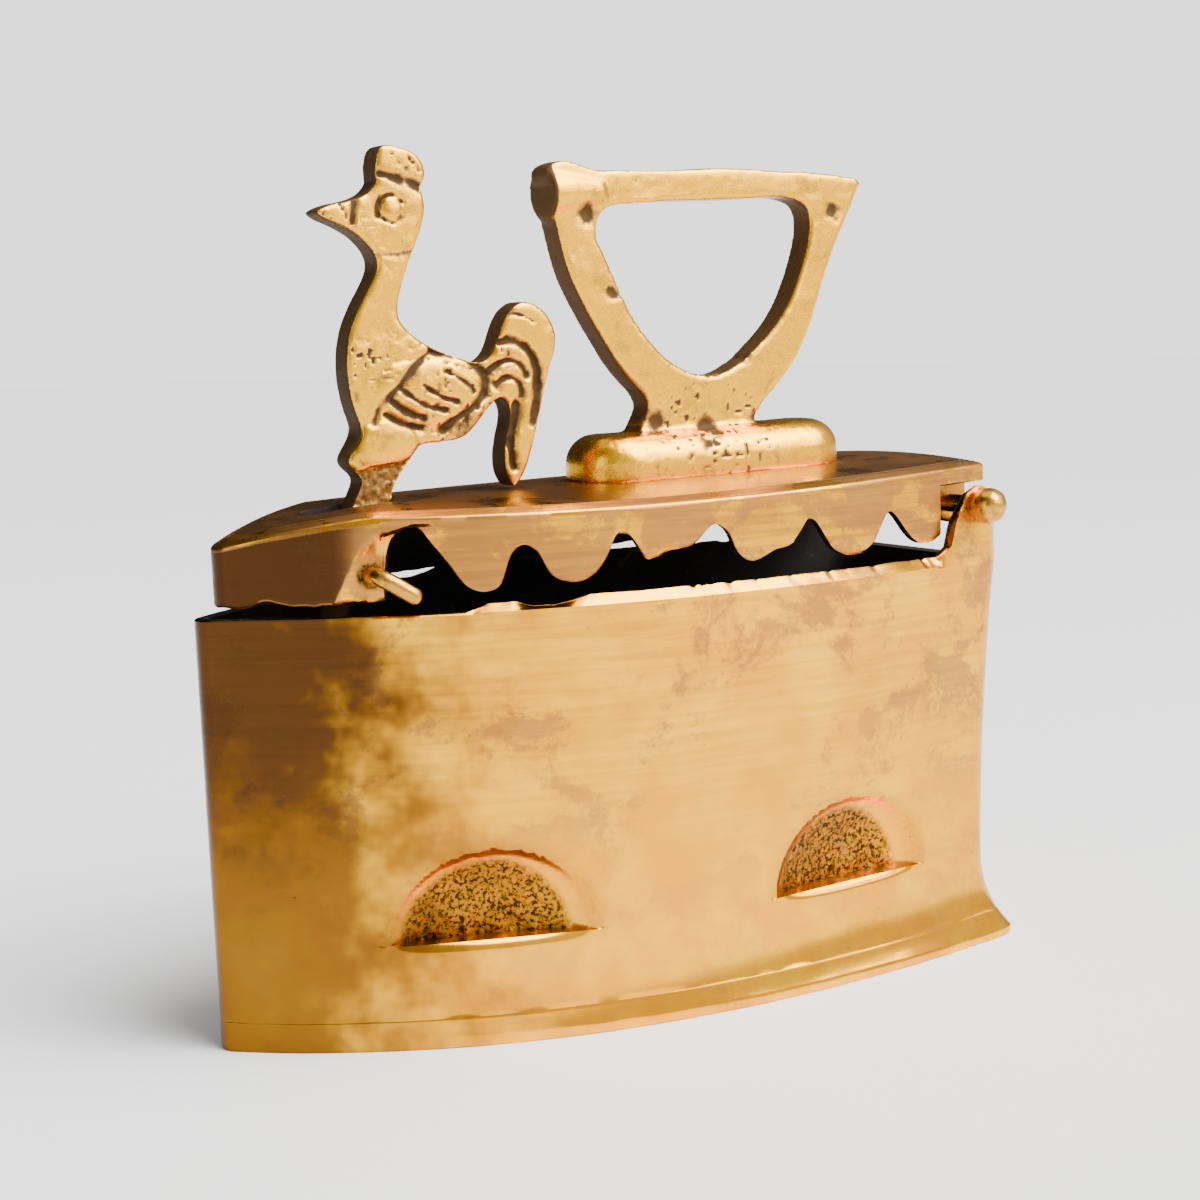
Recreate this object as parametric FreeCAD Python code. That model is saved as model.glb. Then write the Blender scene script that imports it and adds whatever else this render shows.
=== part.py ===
"""Cast brass charcoal iron with a cockerel latch, as separate sub-parts, one STEP file each.

Frame: +Z up, the nose points along -X, and the origin is the middle of the flat sole face.
Millimetres. The lid group is drawn level and then seated: it turns a little nose down about
the hinge pin, which is how the closed lid lies.
"""
import FreeCAD, Part
import math
import os

V = FreeCAD.Vector
Y_AXIS = V(0, 1, 0)
Z_AXIS = V(0, 0, 1)
PAST = 80.0              # far enough to either side for a cutter to clear the whole iron
AHEAD = 140.0            # the same, forwards and back
BELOW_LID = 90.0         # and heights below and above everything in the lid
ABOVE_LID = 140.0

# ---- box: plan outline (half of it; the other half is its mirror) ----
NOSE_X = -106.0          # nose tip at the sole
NOSE_LEAN = 1.6          # how much further forward the nose is at RIM_Z
NOSE_R = 5.2
NOSE_ANGLE = 40.3        # side wall against the middle plane, where it leaves the nose
NOSE_REACH = 77.0        # handle of the side's curve at the nose end
WAIST_REAR_X = 100.2     # back wall at its waist
REAR_HALF = 34.4         # half width where the side meets the back corner
REAR_ANGLE = 11.7
REAR_REACH = 65.0
CORNER_R = 9.0
WAIST_Z = 23.0
SIDE_FLARE = 3.6         # how far the side swings out at the sole
REAR_FLARE = 7.4
FLARE_POWER = 2.3
RIM_SIDE_FLARE = 0.4     # and a little at the rim
RIM_REAR_FLARE = 4.6
SOLE_EDGE = 2.0          # upright edge of the sole
WALL = 3.0

# ---- box: heights ----
SOLE_T = 7.0
RIM_Z = 101.0            # outer edge of the rim
LIP_Z = 103.2            # filed bevel rises inwards to this thin lip
LIP_X = -52.0            # ahead of here the lip is worn off
LIP_INSET = 2.2
BEVEL_END_X = 80.0       # the bevel stops short of the ears
EAR_TOP_Z = 120.6

# ---- half moon draught dimples in the side walls ----
DIMPLE_XS = (-51.5, 46.5)
DIMPLE_LIP_Z = 24.5
DIMPLE_HALF_W = 24.5
DIMPLE_H = 21.0
DIMPLE_DEPTH = 7.0

# ---- hinge ----
HINGE_X = 95.6
HINGE_Z = 115.5
HINGE_PIN_R = 2.5
EAR_BACK_R = 5.6          # the closed lid lies 6 mm above the pin's axis
EAR_SHELF = 4.6          # how far under the pin's axis the shelf lies
HEAD_R = 4.7
HEAD_LENGTH = 7.0
RUNNING_GAP = 0.05
KNUCKLE_R = 5.2
KNUCKLE_Y = (12.0, 23.0)

# ---- lid ----
LID_LEAN = 1.12          # degrees, nose down
LID_INSET = 3.2          # from the outside of the wall
LID_NOSE_R = 5.0
LID_STRETCH = 9.0
LID_SKIRT_T = 2.6
LID_PLATE_T = 3.0
SKIRT_Z = 106.9          # foot of the skirt, lid level
CROWN_Z = 128.0          # highest line of the lid
PLATE_UNDER_Z = CROWN_Z - LID_PLATE_T        # under side of the lid plate on the middle line
CROWN_R = 400.0          # its crown across
DROOP_X = -58.0          # ahead of here the lid droops to the nose
DROOP_R = 165.0
LID_REAR_X = 100.6
LID_PLATE_Z = CROWN_Z - 1.1 - LID_PLATE_T    # under side of the lid plate near its edge
# Foot of the near skirt from the latch pin's arch back to the ears: uneven, filed by hand.
SKIRT_FOOT = [(-71.8, 107.0), (-71.8, 113.0), (-71.0, 118.5), (-68.6, 122.6), (-65.0, 123.6),
              (-61.8, 120.4), (-58.0, 115.0), (-55.2, 110.8), (-51.2, 108.2), (-47.4, 109.2),
              (-45.0, 114.4), (-41.5, 118.4), (-38.4, 116.6), (-35.6, 111.6), (-31.4, 109.0),
              (-25.6, 109.8), (-21.2, 114.6), (-17.8, 119.2), (-14.4, 116.6), (-11.4, 112.6),
              (-5.6, 113.8), (1.6, 115.0), (7.6, 119.1), (10.6, 117.4), (13.4, 112.4),
              (18.6, 109.2), (24.0, 111.0), (31.0, 112.8), (36.3, 117.7), (40.0, 114.4),
              (43.6, 109.6), (52.0, 107.3), (58.6, 111.2), (63.6, 116.8), (67.4, 113.8),
              (71.4, 109.4), (77.6, 107.4), (82.2, 109.0)]
# Foot of the far skirt: no arch, nearly straight and lower ahead, notched only towards the back.
FAR_FOOT = [(-71.8, 106.9), (-60.0, 106.6), (-50.0, 106.3), (-30.0, 106.0), (-10.0, 105.7),
            (12.0, 105.5), (30.0, 106.4), (40.4, 109.4), (45.6, 113.2), (51.0, 109.6),
            (56.0, 109.4), (61.0, 113.5), (66.0, 117.2), (71.0, 115.0), (76.0, 111.6),
            (82.2, 110.0)]
FAR_SKIRT_Z = 105.0      # nothing of the far skirt hangs lower than this
EAR_NOTCH_X = 82.2       # the skirt stops here to clear the ears
REAR_EDGE_T = 5.4        # thick rear edge of the lid plate

# ---- cockerel latch ----
LATCH_X = -73.5
LATCH_Z = 113.3
LATCH_PIN_R = 2.05
BOSS_R = 5.0
BOSS_Y = (9.0, 24.0)
BIRD_T = 7.4
SLOT_X = (-79.0, -56.8)
SLOT_W = 8.6
KEEPER_X = -87.6
KEEPER_Z = 94.0
KEEPER_R = 2.4
KEEPER_COVER = 0.8       # how far its ends stop short of the wall's outside

# ---- handle ----
FOOT_X = (-6.4, 72.0)
FOOT_HALF_W = 12.5
FOOT_H = 11.5
FOOT_Z = CROWN_Z - 0.4   # flat filed on the lid for the handle's foot
LOOP_T = 8.0
BAR_BOSS_R = 6.6
RIVET_XS = (10.0, 55.0)
RIVET_R = 3.0
RIVET_HEAD_R = 5.2
RIVET_HEAD_H = 2.4
RIVET_DEPTH = 7.5        # how deep the rivet sits in the foot
WASHER_R = 7.5
WASHER_T = 1.2

# ---- heat shield under the lid ----
SHIELD_T = 1.2
SHIELD_GAP = 3.6
SHIELD_INSET = 12.0
SHIELD_X = (-46.0, 84.0)
SPACER_R = 5.5

# ---- fire grate ----
GRATE_T = 3.0
GRATE_Z = 15.0
GRATE_GAP = 2.0          # between the grate's edge and the wall
GRATE_SLOT_W = 5.0
GRATE_SLOT_PITCH = 13.0
GRATE_FEET = {"nose_left": (-62.0, -14.0), "nose_right": (-62.0, 14.0),
              "rear_left": (70.0, -20.0), "rear_right": (70.0, 20.0)}
FOOT_POST_R = 4.0
FOOT_SPIGOT_R = 2.4

# ---- rivets that hold the sole ----
LUG_XS = (-78.0, 0.0, 84.0)
LUG_R = 5.0
LUG_OFF_WALL = 5.4       # lug's centre from the inside of the wall
LUG_T = 5.0
SOLE_RIVET_R = 2.0
SOLE_RIVET_DEPTH = 4.5
SOLE_RIVET_HEAD_R = 3.4


# ------------------------------------------------------------------ the box's outline
def waist_distance(z):
    """(share of the way down from the waist to the sole, share of the way up to the rim)."""
    z = min(max(z, SOLE_EDGE), RIM_Z)
    down = max(0.0, (WAIST_Z - z) / (WAIST_Z - SOLE_EDGE))
    up = max(0.0, (z - WAIST_Z) / (RIM_Z - WAIST_Z))
    return down, up


def side_flare(z):
    down, up = waist_distance(z)
    return SIDE_FLARE * down ** FLARE_POWER + RIM_SIDE_FLARE * up ** 2


def rear_x(z):
    down, up = waist_distance(z)
    return WAIST_REAR_X + REAR_FLARE * down ** FLARE_POWER + RIM_REAR_FLARE * up ** 2


def nose_x(z):
    return NOSE_X - NOSE_LEAN * z / RIM_Z


def side_poles(z, inset, nose_r=None, stretch=0.0):
    """Nose circle, corner circle and the four poles of the side's curve, on the +Y side.

    A larger nose_r blunts the nose and leaves the sides where they are; stretch moves the
    back corners rearwards along the sides, to be cut off square afterwards.
    """
    a, b = math.radians(NOSE_ANGLE), math.radians(REAR_ANGLE)
    sharp_r = NOSE_R - inset
    nose_r = nose_r or sharp_r
    along, out = V(math.cos(a), math.sin(a), 0), V(-math.sin(a), math.cos(a), 0)
    sharp_centre = V(nose_x(z) + NOSE_R, 0, z)
    nose_centre = sharp_centre + V((nose_r - sharp_r) / math.sin(a), 0, 0)
    pole_1 = sharp_centre + out * sharp_r + along * NOSE_REACH + V(0, side_flare(z), 0)
    corner = V(rear_x(z) - CORNER_R, REAR_HALF + side_flare(z) - CORNER_R * math.cos(b), z)
    corner = corner + V(stretch, -stretch * math.tan(b), 0)
    end = corner + V(math.sin(b), math.cos(b), 0) * (CORNER_R - inset)
    pole_2 = end + V(-math.cos(b), math.sin(b), 0) * (REAR_REACH + stretch / math.cos(b))
    return nose_centre, corner, [nose_centre + out * nose_r, pole_1, pole_2, end]


def mirrored(p):
    return V(p.x, -p.y, p.z)


def bezier(poles):
    curve = Part.BezierCurve()
    curve.setPoles(poles)
    return curve.toShape()


def section(z, inset=0.0, at_z=None, nose_r=None, stretch=0.0):
    """Closed outline of the box at height z, moved in by inset, and placed at at_z."""
    nose_centre, corner, poles = side_poles(z, inset, nose_r, stretch)
    half_corner = math.radians(90 - REAR_ANGLE) / 2
    r = CORNER_R - inset
    corner_mid = corner + V(math.cos(half_corner), math.sin(half_corner), 0) * r
    corner_end = corner + V(r, 0, 0)
    tip = nose_centre - V(nose_r or NOSE_R - inset, 0, 0)
    start, end = poles[0], poles[3]
    edges = [
        Part.Arc(mirrored(start), tip, start).toShape(),
        bezier(poles),
        Part.Arc(end, corner_mid, corner_end).toShape(),
        Part.makeLine(corner_end, mirrored(corner_end)),
        Part.Arc(mirrored(corner_end), mirrored(corner_mid), mirrored(end)).toShape(),
        bezier([mirrored(p) for p in reversed(poles)]),
    ]
    wire = Part.Wire(edges)
    if at_z is not None:
        wire.translate(V(0, 0, at_z - z))
    return wire


def side_at(x, z):
    """Point on the side's curve at that x on the -Y side, and its outward normal."""
    curve = Part.BezierCurve()
    curve.setPoles([mirrored(p) for p in side_poles(z, 0.0)[2]])
    low, high = 0.0, 1.0
    for _ in range(40):
        mid = (low + high) / 2
        if curve.value(mid).x < x:
            low = mid
        else:
            high = mid
    tangent = curve.tangent(low)[0]
    return curve.value(low), V(tangent.y, -tangent.x, 0).normalize()


def loft(zs, inset=0.0):
    return Part.makeLoft([section(z, inset) for z in zs], True, False)


def prism(z_shape, inset, z_low, z_high):
    """Straight prism on the box's outline at height z_shape, between two heights."""
    face = Part.Face(section(z_shape, inset, at_z=z_low))
    return face.extrude(V(0, 0, z_high - z_low))


def lid_prism(inset, z_low, z_high):
    """Straight prism on the lid's outline moved in by inset: blunt nose and square back."""
    inset = LID_INSET + inset
    outline = section(RIM_Z, inset, at_z=z_low, nose_r=LID_NOSE_R + LID_INSET - inset,
                      stretch=LID_STRETCH)
    body = Part.Face(outline).extrude(V(0, 0, z_high - z_low))
    return body.cut(box(LID_REAR_X, 160, -PAST, PAST, z_low - 1, z_high + 1))


# ------------------------------------------------------------------ small helpers
def cylinder_y(r, y0, y1, x, z):
    return Part.makeCylinder(r, y1 - y0, V(x, y0, z), Y_AXIS)


def cylinder_z(r, z0, z1, x, y):
    return Part.makeCylinder(r, z1 - z0, V(x, y, z0), Z_AXIS)


def box(x0, x1, y0, y1, z0, z1):
    return Part.makeBox(x1 - x0, y1 - y0, z1 - z0, V(x0, y0, z0))


def plate_xz(wire, half_t):
    """A flat piece: a closed wire in the XZ plane given thickness both ways along Y."""
    wire.translate(V(0, -half_t, 0))
    return Part.Face(wire).extrude(V(0, 2 * half_t, 0))


def spline_xz(points, closed=False):
    curve = Part.BSplineCurve()
    curve.interpolate([V(x, 0, z) for x, z in points], PeriodicFlag=closed)
    return curve.toShape()


def dome(r, height, x, y, z, up=1):
    """A rivet head: the cap of a ball, r wide and height tall, standing on z."""
    ball_r = (r * r + height * height) / (2 * height)
    ball = Part.makeSphere(ball_r, V(x, y, z + up * (height - ball_r)))
    keep = box(x - 2 * r, x + 2 * r, y - 2 * r, y + 2 * r, z, z + height * 1.1)
    if up < 0:
        keep.translate(V(0, 0, -height * 1.1))
    return ball.common(keep)


def seat(shape):
    """Turns a lid part nose down about the hinge pin, into its closed place."""
    shape.rotate(V(HINGE_X, 0, HINGE_Z), Y_AXIS, -LID_LEAN)
    return shape


# ------------------------------------------------------------------ box parts
def half_moon(x, side, z_low, half_w, depth, height):
    """Upper half of an ellipsoid centred on the wall's outside, for a dimple or its back."""
    point, normal = side_at(x, DIMPLE_LIP_Z)
    ball = Part.makeSphere(1.0)
    scale = FreeCAD.Matrix()
    scale.scale(half_w, depth, height)
    ball = ball.transformGeometry(scale)
    turn = math.degrees(math.atan2(normal.y, normal.x)) + 90
    ball.rotate(V(0, 0, 0), Z_AXIS, turn)
    ball.translate(V(point.x, point.y, z_low))
    reach = 2 * half_w
    ball = ball.common(box(x - reach, x + reach, -PAST, PAST, z_low, z_low + height + 1))
    return ball if side < 0 else ball.mirror(V(0, 0, 0), Y_AXIS)


def about_pin(r, degrees):
    """Point at distance r from the hinge pin's axis, at an angle above the horizontal."""
    a = math.radians(degrees)
    return V(HINGE_X + r * math.cos(a), 0, HINGE_Z + r * math.sin(a))


def above_rim_profile():
    """Side view of what may stand above the rim: the thin lip, then the ears.

    Behind the pin each ear is stepped, round above a low shelf, so that the back edge of the
    opening lid turns past it and comes to rest on the shelf.
    """
    top, rear_top = V(HINGE_X, 0, EAR_TOP_Z), about_pin(EAR_BACK_R, 38)
    step = about_pin(EAR_BACK_R, -math.degrees(math.asin(EAR_SHELF / EAR_BACK_R)))
    rim_rear = 130.0
    outline = [(step.x, step.z), (rim_rear, step.z), (rim_rear, RIM_Z - 2), (LIP_X - 90.0, RIM_Z - 2),
               (LIP_X - 90.0, RIM_Z), (LIP_X - 5.0, RIM_Z), (LIP_X, LIP_Z), (78.6, LIP_Z),
               (83.4, 106.0), (85.2, 112.0), (HINGE_X - 4.6, HINGE_Z + 3.4), (top.x, top.z),
               (rear_top.x, rear_top.z)]
    edges = Part.makePolygon([V(x, 0, z) for x, z in outline]).Edges
    return Part.Wire(edges + [Part.Arc(rear_top, about_pin(EAR_BACK_R, 0), step).toShape()])


def lug_places():
    """Centres of the rivet lugs inside the wall's foot, both sides."""
    places = []
    for x in LUG_XS:
        point, normal = side_at(x, SOLE_T)
        centre = point - normal * (WALL + LUG_OFF_WALL)
        places += [(centre.x, centre.y), (centre.x, -centre.y)]
    return places


def make_lug(x, y):
    """Low round lug with a web that ties it to the wall beside it."""
    side = 1 if y > 0 else -1
    y0, y1 = sorted((y, y + side * (LUG_OFF_WALL + WALL)))
    web = box(x - 0.7 * LUG_R, x + 0.7 * LUG_R, y0, y1, SOLE_T, SOLE_T + LUG_T - 1)
    return cylinder_z(LUG_R, SOLE_T, SOLE_T + LUG_T, x, y).fuse(web)


def bevel_cutter():
    """What the file took off the rim: everything outside a face that leans in and up."""
    low = RIM_Z - 0.4
    block = box(-AHEAD, BEVEL_END_X, -PAST, PAST, low, EAR_TOP_Z + 5)
    levels = [section(RIM_Z, 0.3, at_z=low), section(RIM_Z, LIP_INSET + 0.3, at_z=LIP_Z + 0.4)]
    return block.cut(Part.makeLoft(levels, True, True))


def make_body_shell():
    levels = (SOLE_T, 9.0, 11.5, 14.5, 18.0, WAIST_Z, 35.0, 50.0, 65.0, 80.0, 92.0, RIM_Z)
    outer = loft(levels).fuse(prism(RIM_Z, 0.0, RIM_Z, EAR_TOP_Z + 2))
    inner = loft(levels, WALL).fuse([prism(SOLE_T, WALL, SOLE_T - 1, SOLE_T),
                                     prism(RIM_Z, WALL, RIM_Z, EAR_TOP_Z + 3)])
    above_rim = box(-AHEAD, AHEAD, -PAST, PAST, RIM_Z, EAR_TOP_Z + 10)
    shell = outer.cut(inner).cut(above_rim.cut(plate_xz(above_rim_profile(), PAST)))
    shell = shell.cut([bevel_cutter(), back_gap()])
    lugs = [make_lug(x, y).common(outer) for x, y in lug_places()]
    backs = []
    pockets = []
    for x in DIMPLE_XS:
        for side in (-1, 1):
            back = half_moon(x, side, DIMPLE_LIP_Z - WALL, DIMPLE_HALF_W + WALL,
                             DIMPLE_DEPTH + WALL, DIMPLE_H + 1.5 * WALL)
            backs.append(back.common(outer))
            pockets.append(half_moon(x, side, DIMPLE_LIP_Z, DIMPLE_HALF_W, DIMPLE_DEPTH, DIMPLE_H))
    shell = shell.fuse(lugs + backs).cut(pockets)
    holes = [cylinder_z(SOLE_RIVET_R, SOLE_T - 1, SOLE_T + LUG_T + 1, x, y) for x, y in lug_places()]
    return shell.cut(holes + [cylinder_y(HINGE_PIN_R, -PAST, PAST, HINGE_X, HINGE_Z), make_latch_keeper()])


def back_gap():
    """The back wall stops at the rim between the two ears."""
    half = REAR_HALF - CORNER_R + 1.0
    return box(HINGE_X, AHEAD, -half, half, RIM_Z, EAR_TOP_Z + 5)


def make_sole_plate():
    edge = prism(SOLE_EDGE, 0.0, 0.0, SOLE_EDGE)
    flare = loft((SOLE_EDGE, 4.5, SOLE_T))
    sole = edge.fuse(flare)
    holes = [cylinder_z(SOLE_RIVET_R, SOLE_T - SOLE_RIVET_DEPTH, SOLE_T + 1, x, y)
             for x, y in lug_places()]
    return sole.cut(holes)


def make_sole_rivets():
    top = SOLE_T + LUG_T
    rivets = []
    for x, y in lug_places():
        shank = cylinder_z(SOLE_RIVET_R, SOLE_T - SOLE_RIVET_DEPTH, top, x, y)
        rivets.append(shank.fuse(dome(SOLE_RIVET_HEAD_R, 1.8, x, y, top)))
    return Part.makeCompound(rivets)


def make_latch_keeper():
    """Round bar across the nose, let into both walls, that the latch hook catches behind."""
    inside = prism(KEEPER_Z, KEEPER_COVER, KEEPER_Z - 2 * KEEPER_R, KEEPER_Z + 2 * KEEPER_R)
    return cylinder_y(KEEPER_R, -PAST, PAST, KEEPER_X, KEEPER_Z).common(inside)


def make_hinge_pin():
    """Straight pin through both ears, each end beaten out to a round head."""
    outside = abs(side_at(HINGE_X, HINGE_Z)[0].y)
    pin = cylinder_y(HINGE_PIN_R, -outside, outside, HINGE_X, HINGE_Z)
    heads = []
    for side in (-1, 1):
        head = Part.makeSphere(HEAD_R, V(HINGE_X, side * (outside + HEAD_LENGTH - HEAD_R), HINGE_Z))
        y0 = outside if side > 0 else -outside - HEAD_R * 2
        heads.append(head.common(box(80, 110, y0, y0 + HEAD_R * 2, 105, 130)))
    return pin.fuse(heads)


# ------------------------------------------------------------------ lid parts
def crown(z_top):
    """Everything under the lid's crowned and drooping top, whose highest line is z_top."""
    r = CROWN_R - (CROWN_Z - z_top)
    across = Part.makeCylinder(r, 260, V(-130, 0, CROWN_Z - CROWN_R), V(1, 0, 0))
    r = DROOP_R - (CROWN_Z - z_top)
    nose = cylinder_y(r, -PAST, PAST, DROOP_X, CROWN_Z - DROOP_R)
    along = nose.fuse(box(DROOP_X, AHEAD, -PAST, PAST, 60, z_top + 5))
    return across.common(along)


def scallop_cutter(foot, y0, y1):
    """Everything under a wavy foot line, between two widths."""
    (x0, z0), (x1, z1) = foot[0], foot[-1]
    low = SKIRT_Z - 8
    base = Part.makePolygon([V(x1, 0, z1), V(x1, 0, low), V(x0, 0, low), V(x0, 0, z0)])
    cutter = plate_xz(Part.Wire([spline_xz(foot)] + base.Edges), PAST)
    return cutter.common(box(x0 - 10, x1 + 10, y0, y1, low - 1, CROWN_Z))


def make_lid():
    outer = lid_prism(0.0, FAR_SKIRT_Z, CROWN_Z + 2).common(crown(CROWN_Z))
    outer = outer.cut([box(-AHEAD, AHEAD, -PAST, 0, BELOW_LID, SKIRT_Z),
                       box(-AHEAD, FAR_FOOT[0][0], 0, PAST, BELOW_LID, SKIRT_Z)])
    bosses = [cylinder_y(BOSS_R, y0, y1, LATCH_X, LATCH_Z) for y0, y1 in ((-BOSS_Y[1], -BOSS_Y[0]), BOSS_Y)]
    hollow = lid_prism(LID_SKIRT_T, SKIRT_Z - 5, CROWN_Z + 2).common(crown(CROWN_Z - LID_PLATE_T))
    hollow = hollow.cut(bosses)
    rear_low = LID_PLATE_Z - REAR_EDGE_T + LID_PLATE_T
    ear_room = box(EAR_NOTCH_X, AHEAD, -PAST, PAST, BELOW_LID, rear_low)
    scallops = [scallop_cutter(SKIRT_FOOT, -PAST, 0), scallop_cutter(FAR_FOOT, 0, PAST)]
    lid = outer.cut([hollow, ear_room] + scallops)
    knuckles = []
    for y0, y1 in (KNUCKLE_Y, (-KNUCKLE_Y[1], -KNUCKLE_Y[0])):
        barrel = cylinder_y(KNUCKLE_R, y0, y1, HINGE_X, HINGE_Z)
        web = box(HINGE_X - KNUCKLE_R, HINGE_X + KNUCKLE_R, y0, y1, HINGE_Z, CROWN_Z - 1)
        within = lid_prism(0.0, BELOW_LID, ABOVE_LID).common(crown(CROWN_Z - 1))
        knuckles.append(barrel.fuse(web).common(within))
    lid = lid.fuse(knuckles)
    slot = box(SLOT_X[0], SLOT_X[1], -SLOT_W / 2, SLOT_W / 2, LATCH_Z, CROWN_Z + 3)
    bores = [cylinder_y(HINGE_PIN_R + RUNNING_GAP, -PAST, PAST, HINGE_X, HINGE_Z),
             cylinder_y(LATCH_PIN_R, -PAST, PAST, LATCH_X, LATCH_Z)]
    holes = [cylinder_z(RIVET_R, BELOW_LID, ABOVE_LID, x, 0) for x in RIVET_XS]
    foot_seat = box(FOOT_X[0] - 2, FOOT_X[1] + 2, -FOOT_HALF_W - 1, FOOT_HALF_W + 1, FOOT_Z, CROWN_Z + 2)
    return seat(lid.cut([slot, foot_seat] + bores + holes))


def make_handle():
    """Loop handle on a loaf shaped foot, one casting."""
    length = FOOT_X[1] - FOOT_X[0]
    loaf = box(FOOT_X[0], FOOT_X[1], -FOOT_HALF_W, FOOT_HALF_W, FOOT_Z, FOOT_Z + FOOT_H)
    loaf = loaf.makeFillet(FOOT_HALF_W - 0.5, [e for e in loaf.Edges if upright(e)])
    loaf = loaf.makeFillet(FOOT_H * 0.62, top_edges(loaf, FOOT_Z + FOOT_H))
    outer = Part.Wire([
        spline_xz([(10.5, FOOT_Z + 6), (12.0, 141.6), (13.8, 145.4), (9.2, 152.4), (1.7, 162.2),
                   (-4.0, 172.0), (-8.2, 181.5), (-10.6, 192.0), (-11.4, 200.0)]),
        spline_xz([(-11.4, 200.0), (-12.4, 204.6), (-7.9, 206.2), (-2.8, 205.1), (3.0, 203.9)]),
        spline_xz([(3.0, 203.9), (25.3, 203.9), (46.4, 203.8), (64.6, 202.9), (81.9, 201.3)]),
        Part.makeLine(V(81.9, 0, 201.3), V(82.9, 0, 199.9)),
        spline_xz([(82.9, 199.9), (76.9, 189.2), (70.4, 176.9), (64.6, 162.6), (59.1, 153.9),
                   (52.9, 147.9), (48.4, 143.6), (51.0, FOOT_Z + 6)]),
        Part.makeLine(V(51.0, 0, FOOT_Z + 6), V(10.5, 0, FOOT_Z + 6)),
    ])
    inner = Part.Wire([spline_xz([(0.6, 189.6), (3.2, 194.4), (12.0, 196.0), (25.0, 196.4),
                                  (46.1, 196.7), (59.2, 196.6), (65.2, 194.0), (66.2, 189.0),
                                  (63.0, 178.3), (59.0, 170.1), (52.8, 162.7), (45.0, 156.6),
                                  (36.4, 152.4), (28.6, 152.8), (20.4, 156.8), (12.4, 165.0),
                                  (5.7, 176.7), (2.0, 184.4)], closed=True)])
    loop = plate_xz(outer, LOOP_T / 2).cut(plate_xz(inner, LOOP_T))
    boss = Part.makeCone(BAR_BOSS_R, BAR_BOSS_R - 1.6, 15.0, V(-12.0, 0, 198.8), V(1, 0, 0))
    boss = boss.cut(plate_xz(Part.Wire(inner.Edges).translated(V(0, LOOP_T, 0)), LOOP_T))
    handle = loaf.fuse([loop, boss])
    holes = [cylinder_z(RIVET_R, FOOT_Z - 1, FOOT_Z + RIVET_DEPTH, x, 0) for x in RIVET_XS]
    return seat(handle.cut(holes))


def upright(edge):
    a, b = edge.Vertexes[0].Point, edge.Vertexes[-1].Point
    return abs(a.z - b.z) > 1 and abs(a.x - b.x) < 1e-6 and abs(a.y - b.y) < 1e-6


def top_edges(shape, z):
    return [e for e in shape.Edges if all(abs(v.Point.z - z) < 1e-6 for v in e.Vertexes)]


def make_handle_rivet(x):
    """Rivet from under the lid up into the handle's foot, with its head under the washer."""
    head_z = PLATE_UNDER_Z - SHIELD_GAP - SHIELD_T - WASHER_T
    shank = cylinder_z(RIVET_R, head_z, FOOT_Z + RIVET_DEPTH, x, 0)
    return seat(shank.fuse(dome(RIVET_HEAD_R, RIVET_HEAD_H, x, 0, head_z, up=-1)))


def ring(r_out, z_low, z_high, x):
    return cylinder_z(r_out, z_low, z_high, x, 0).cut(cylinder_z(RIVET_R, z_low - 1, z_high + 1, x, 0))


def make_rivet_washer(x):
    top = PLATE_UNDER_Z - SHIELD_GAP - SHIELD_T
    return seat(ring(WASHER_R, top - WASHER_T, top, x))


def make_shield_spacer(x):
    top = PLATE_UNDER_Z
    return seat(ring(SPACER_R, top - SHIELD_GAP, top, x))


def make_heat_shield():
    """Thin plate that hangs under the lid and keeps the coals' heat off the handle."""
    top = PLATE_UNDER_Z - SHIELD_GAP
    shield = lid_prism(SHIELD_INSET, top - SHIELD_T, top)
    shield = shield.common(box(SHIELD_X[0], SHIELD_X[1], -PAST, PAST, BELOW_LID, ABOVE_LID))
    return seat(shield.cut([cylinder_z(RIVET_R, BELOW_LID, ABOVE_LID, x, 0) for x in RIVET_XS]))


def make_latch_pin():
    """Brass rod across the lid's nose, the near end bent back and down, the far end upset."""
    outside = abs(side_at(LATCH_X, RIM_Z)[0].y) - LID_INSET
    bend_y = -outside - 1.6
    bend_r = 3.6
    tail = V(0.80, -0.25, -0.55).normalize()
    turn = math.acos(tail.dot(V(0, -1, 0)))
    set_back = bend_r * math.tan(turn / 2)
    corner = V(LATCH_X, bend_y - set_back, LATCH_Z)
    p0 = V(LATCH_X, outside + 1.2, LATCH_Z)
    p1 = corner + V(0, set_back, 0)
    p2 = corner + tail * set_back
    p3 = p2 + tail * 7.5
    inward = (tail + V(0, 1, 0)).normalize()
    mid = corner + inward * (bend_r / math.cos(turn / 2) - bend_r)
    path = Part.Wire([Part.makeLine(p0, p1), Part.Arc(p1, mid, p2).toShape(), Part.makeLine(p2, p3)])
    circle = Part.Wire(Part.makeCircle(LATCH_PIN_R, p0, Y_AXIS))
    rod = path.makePipeShell([circle], True, True)
    head = cylinder_y(LATCH_PIN_R + 1.3, outside + 0.2, outside + 1.9, LATCH_X, LATCH_Z)
    return seat(rod.fuse(head))


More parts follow.
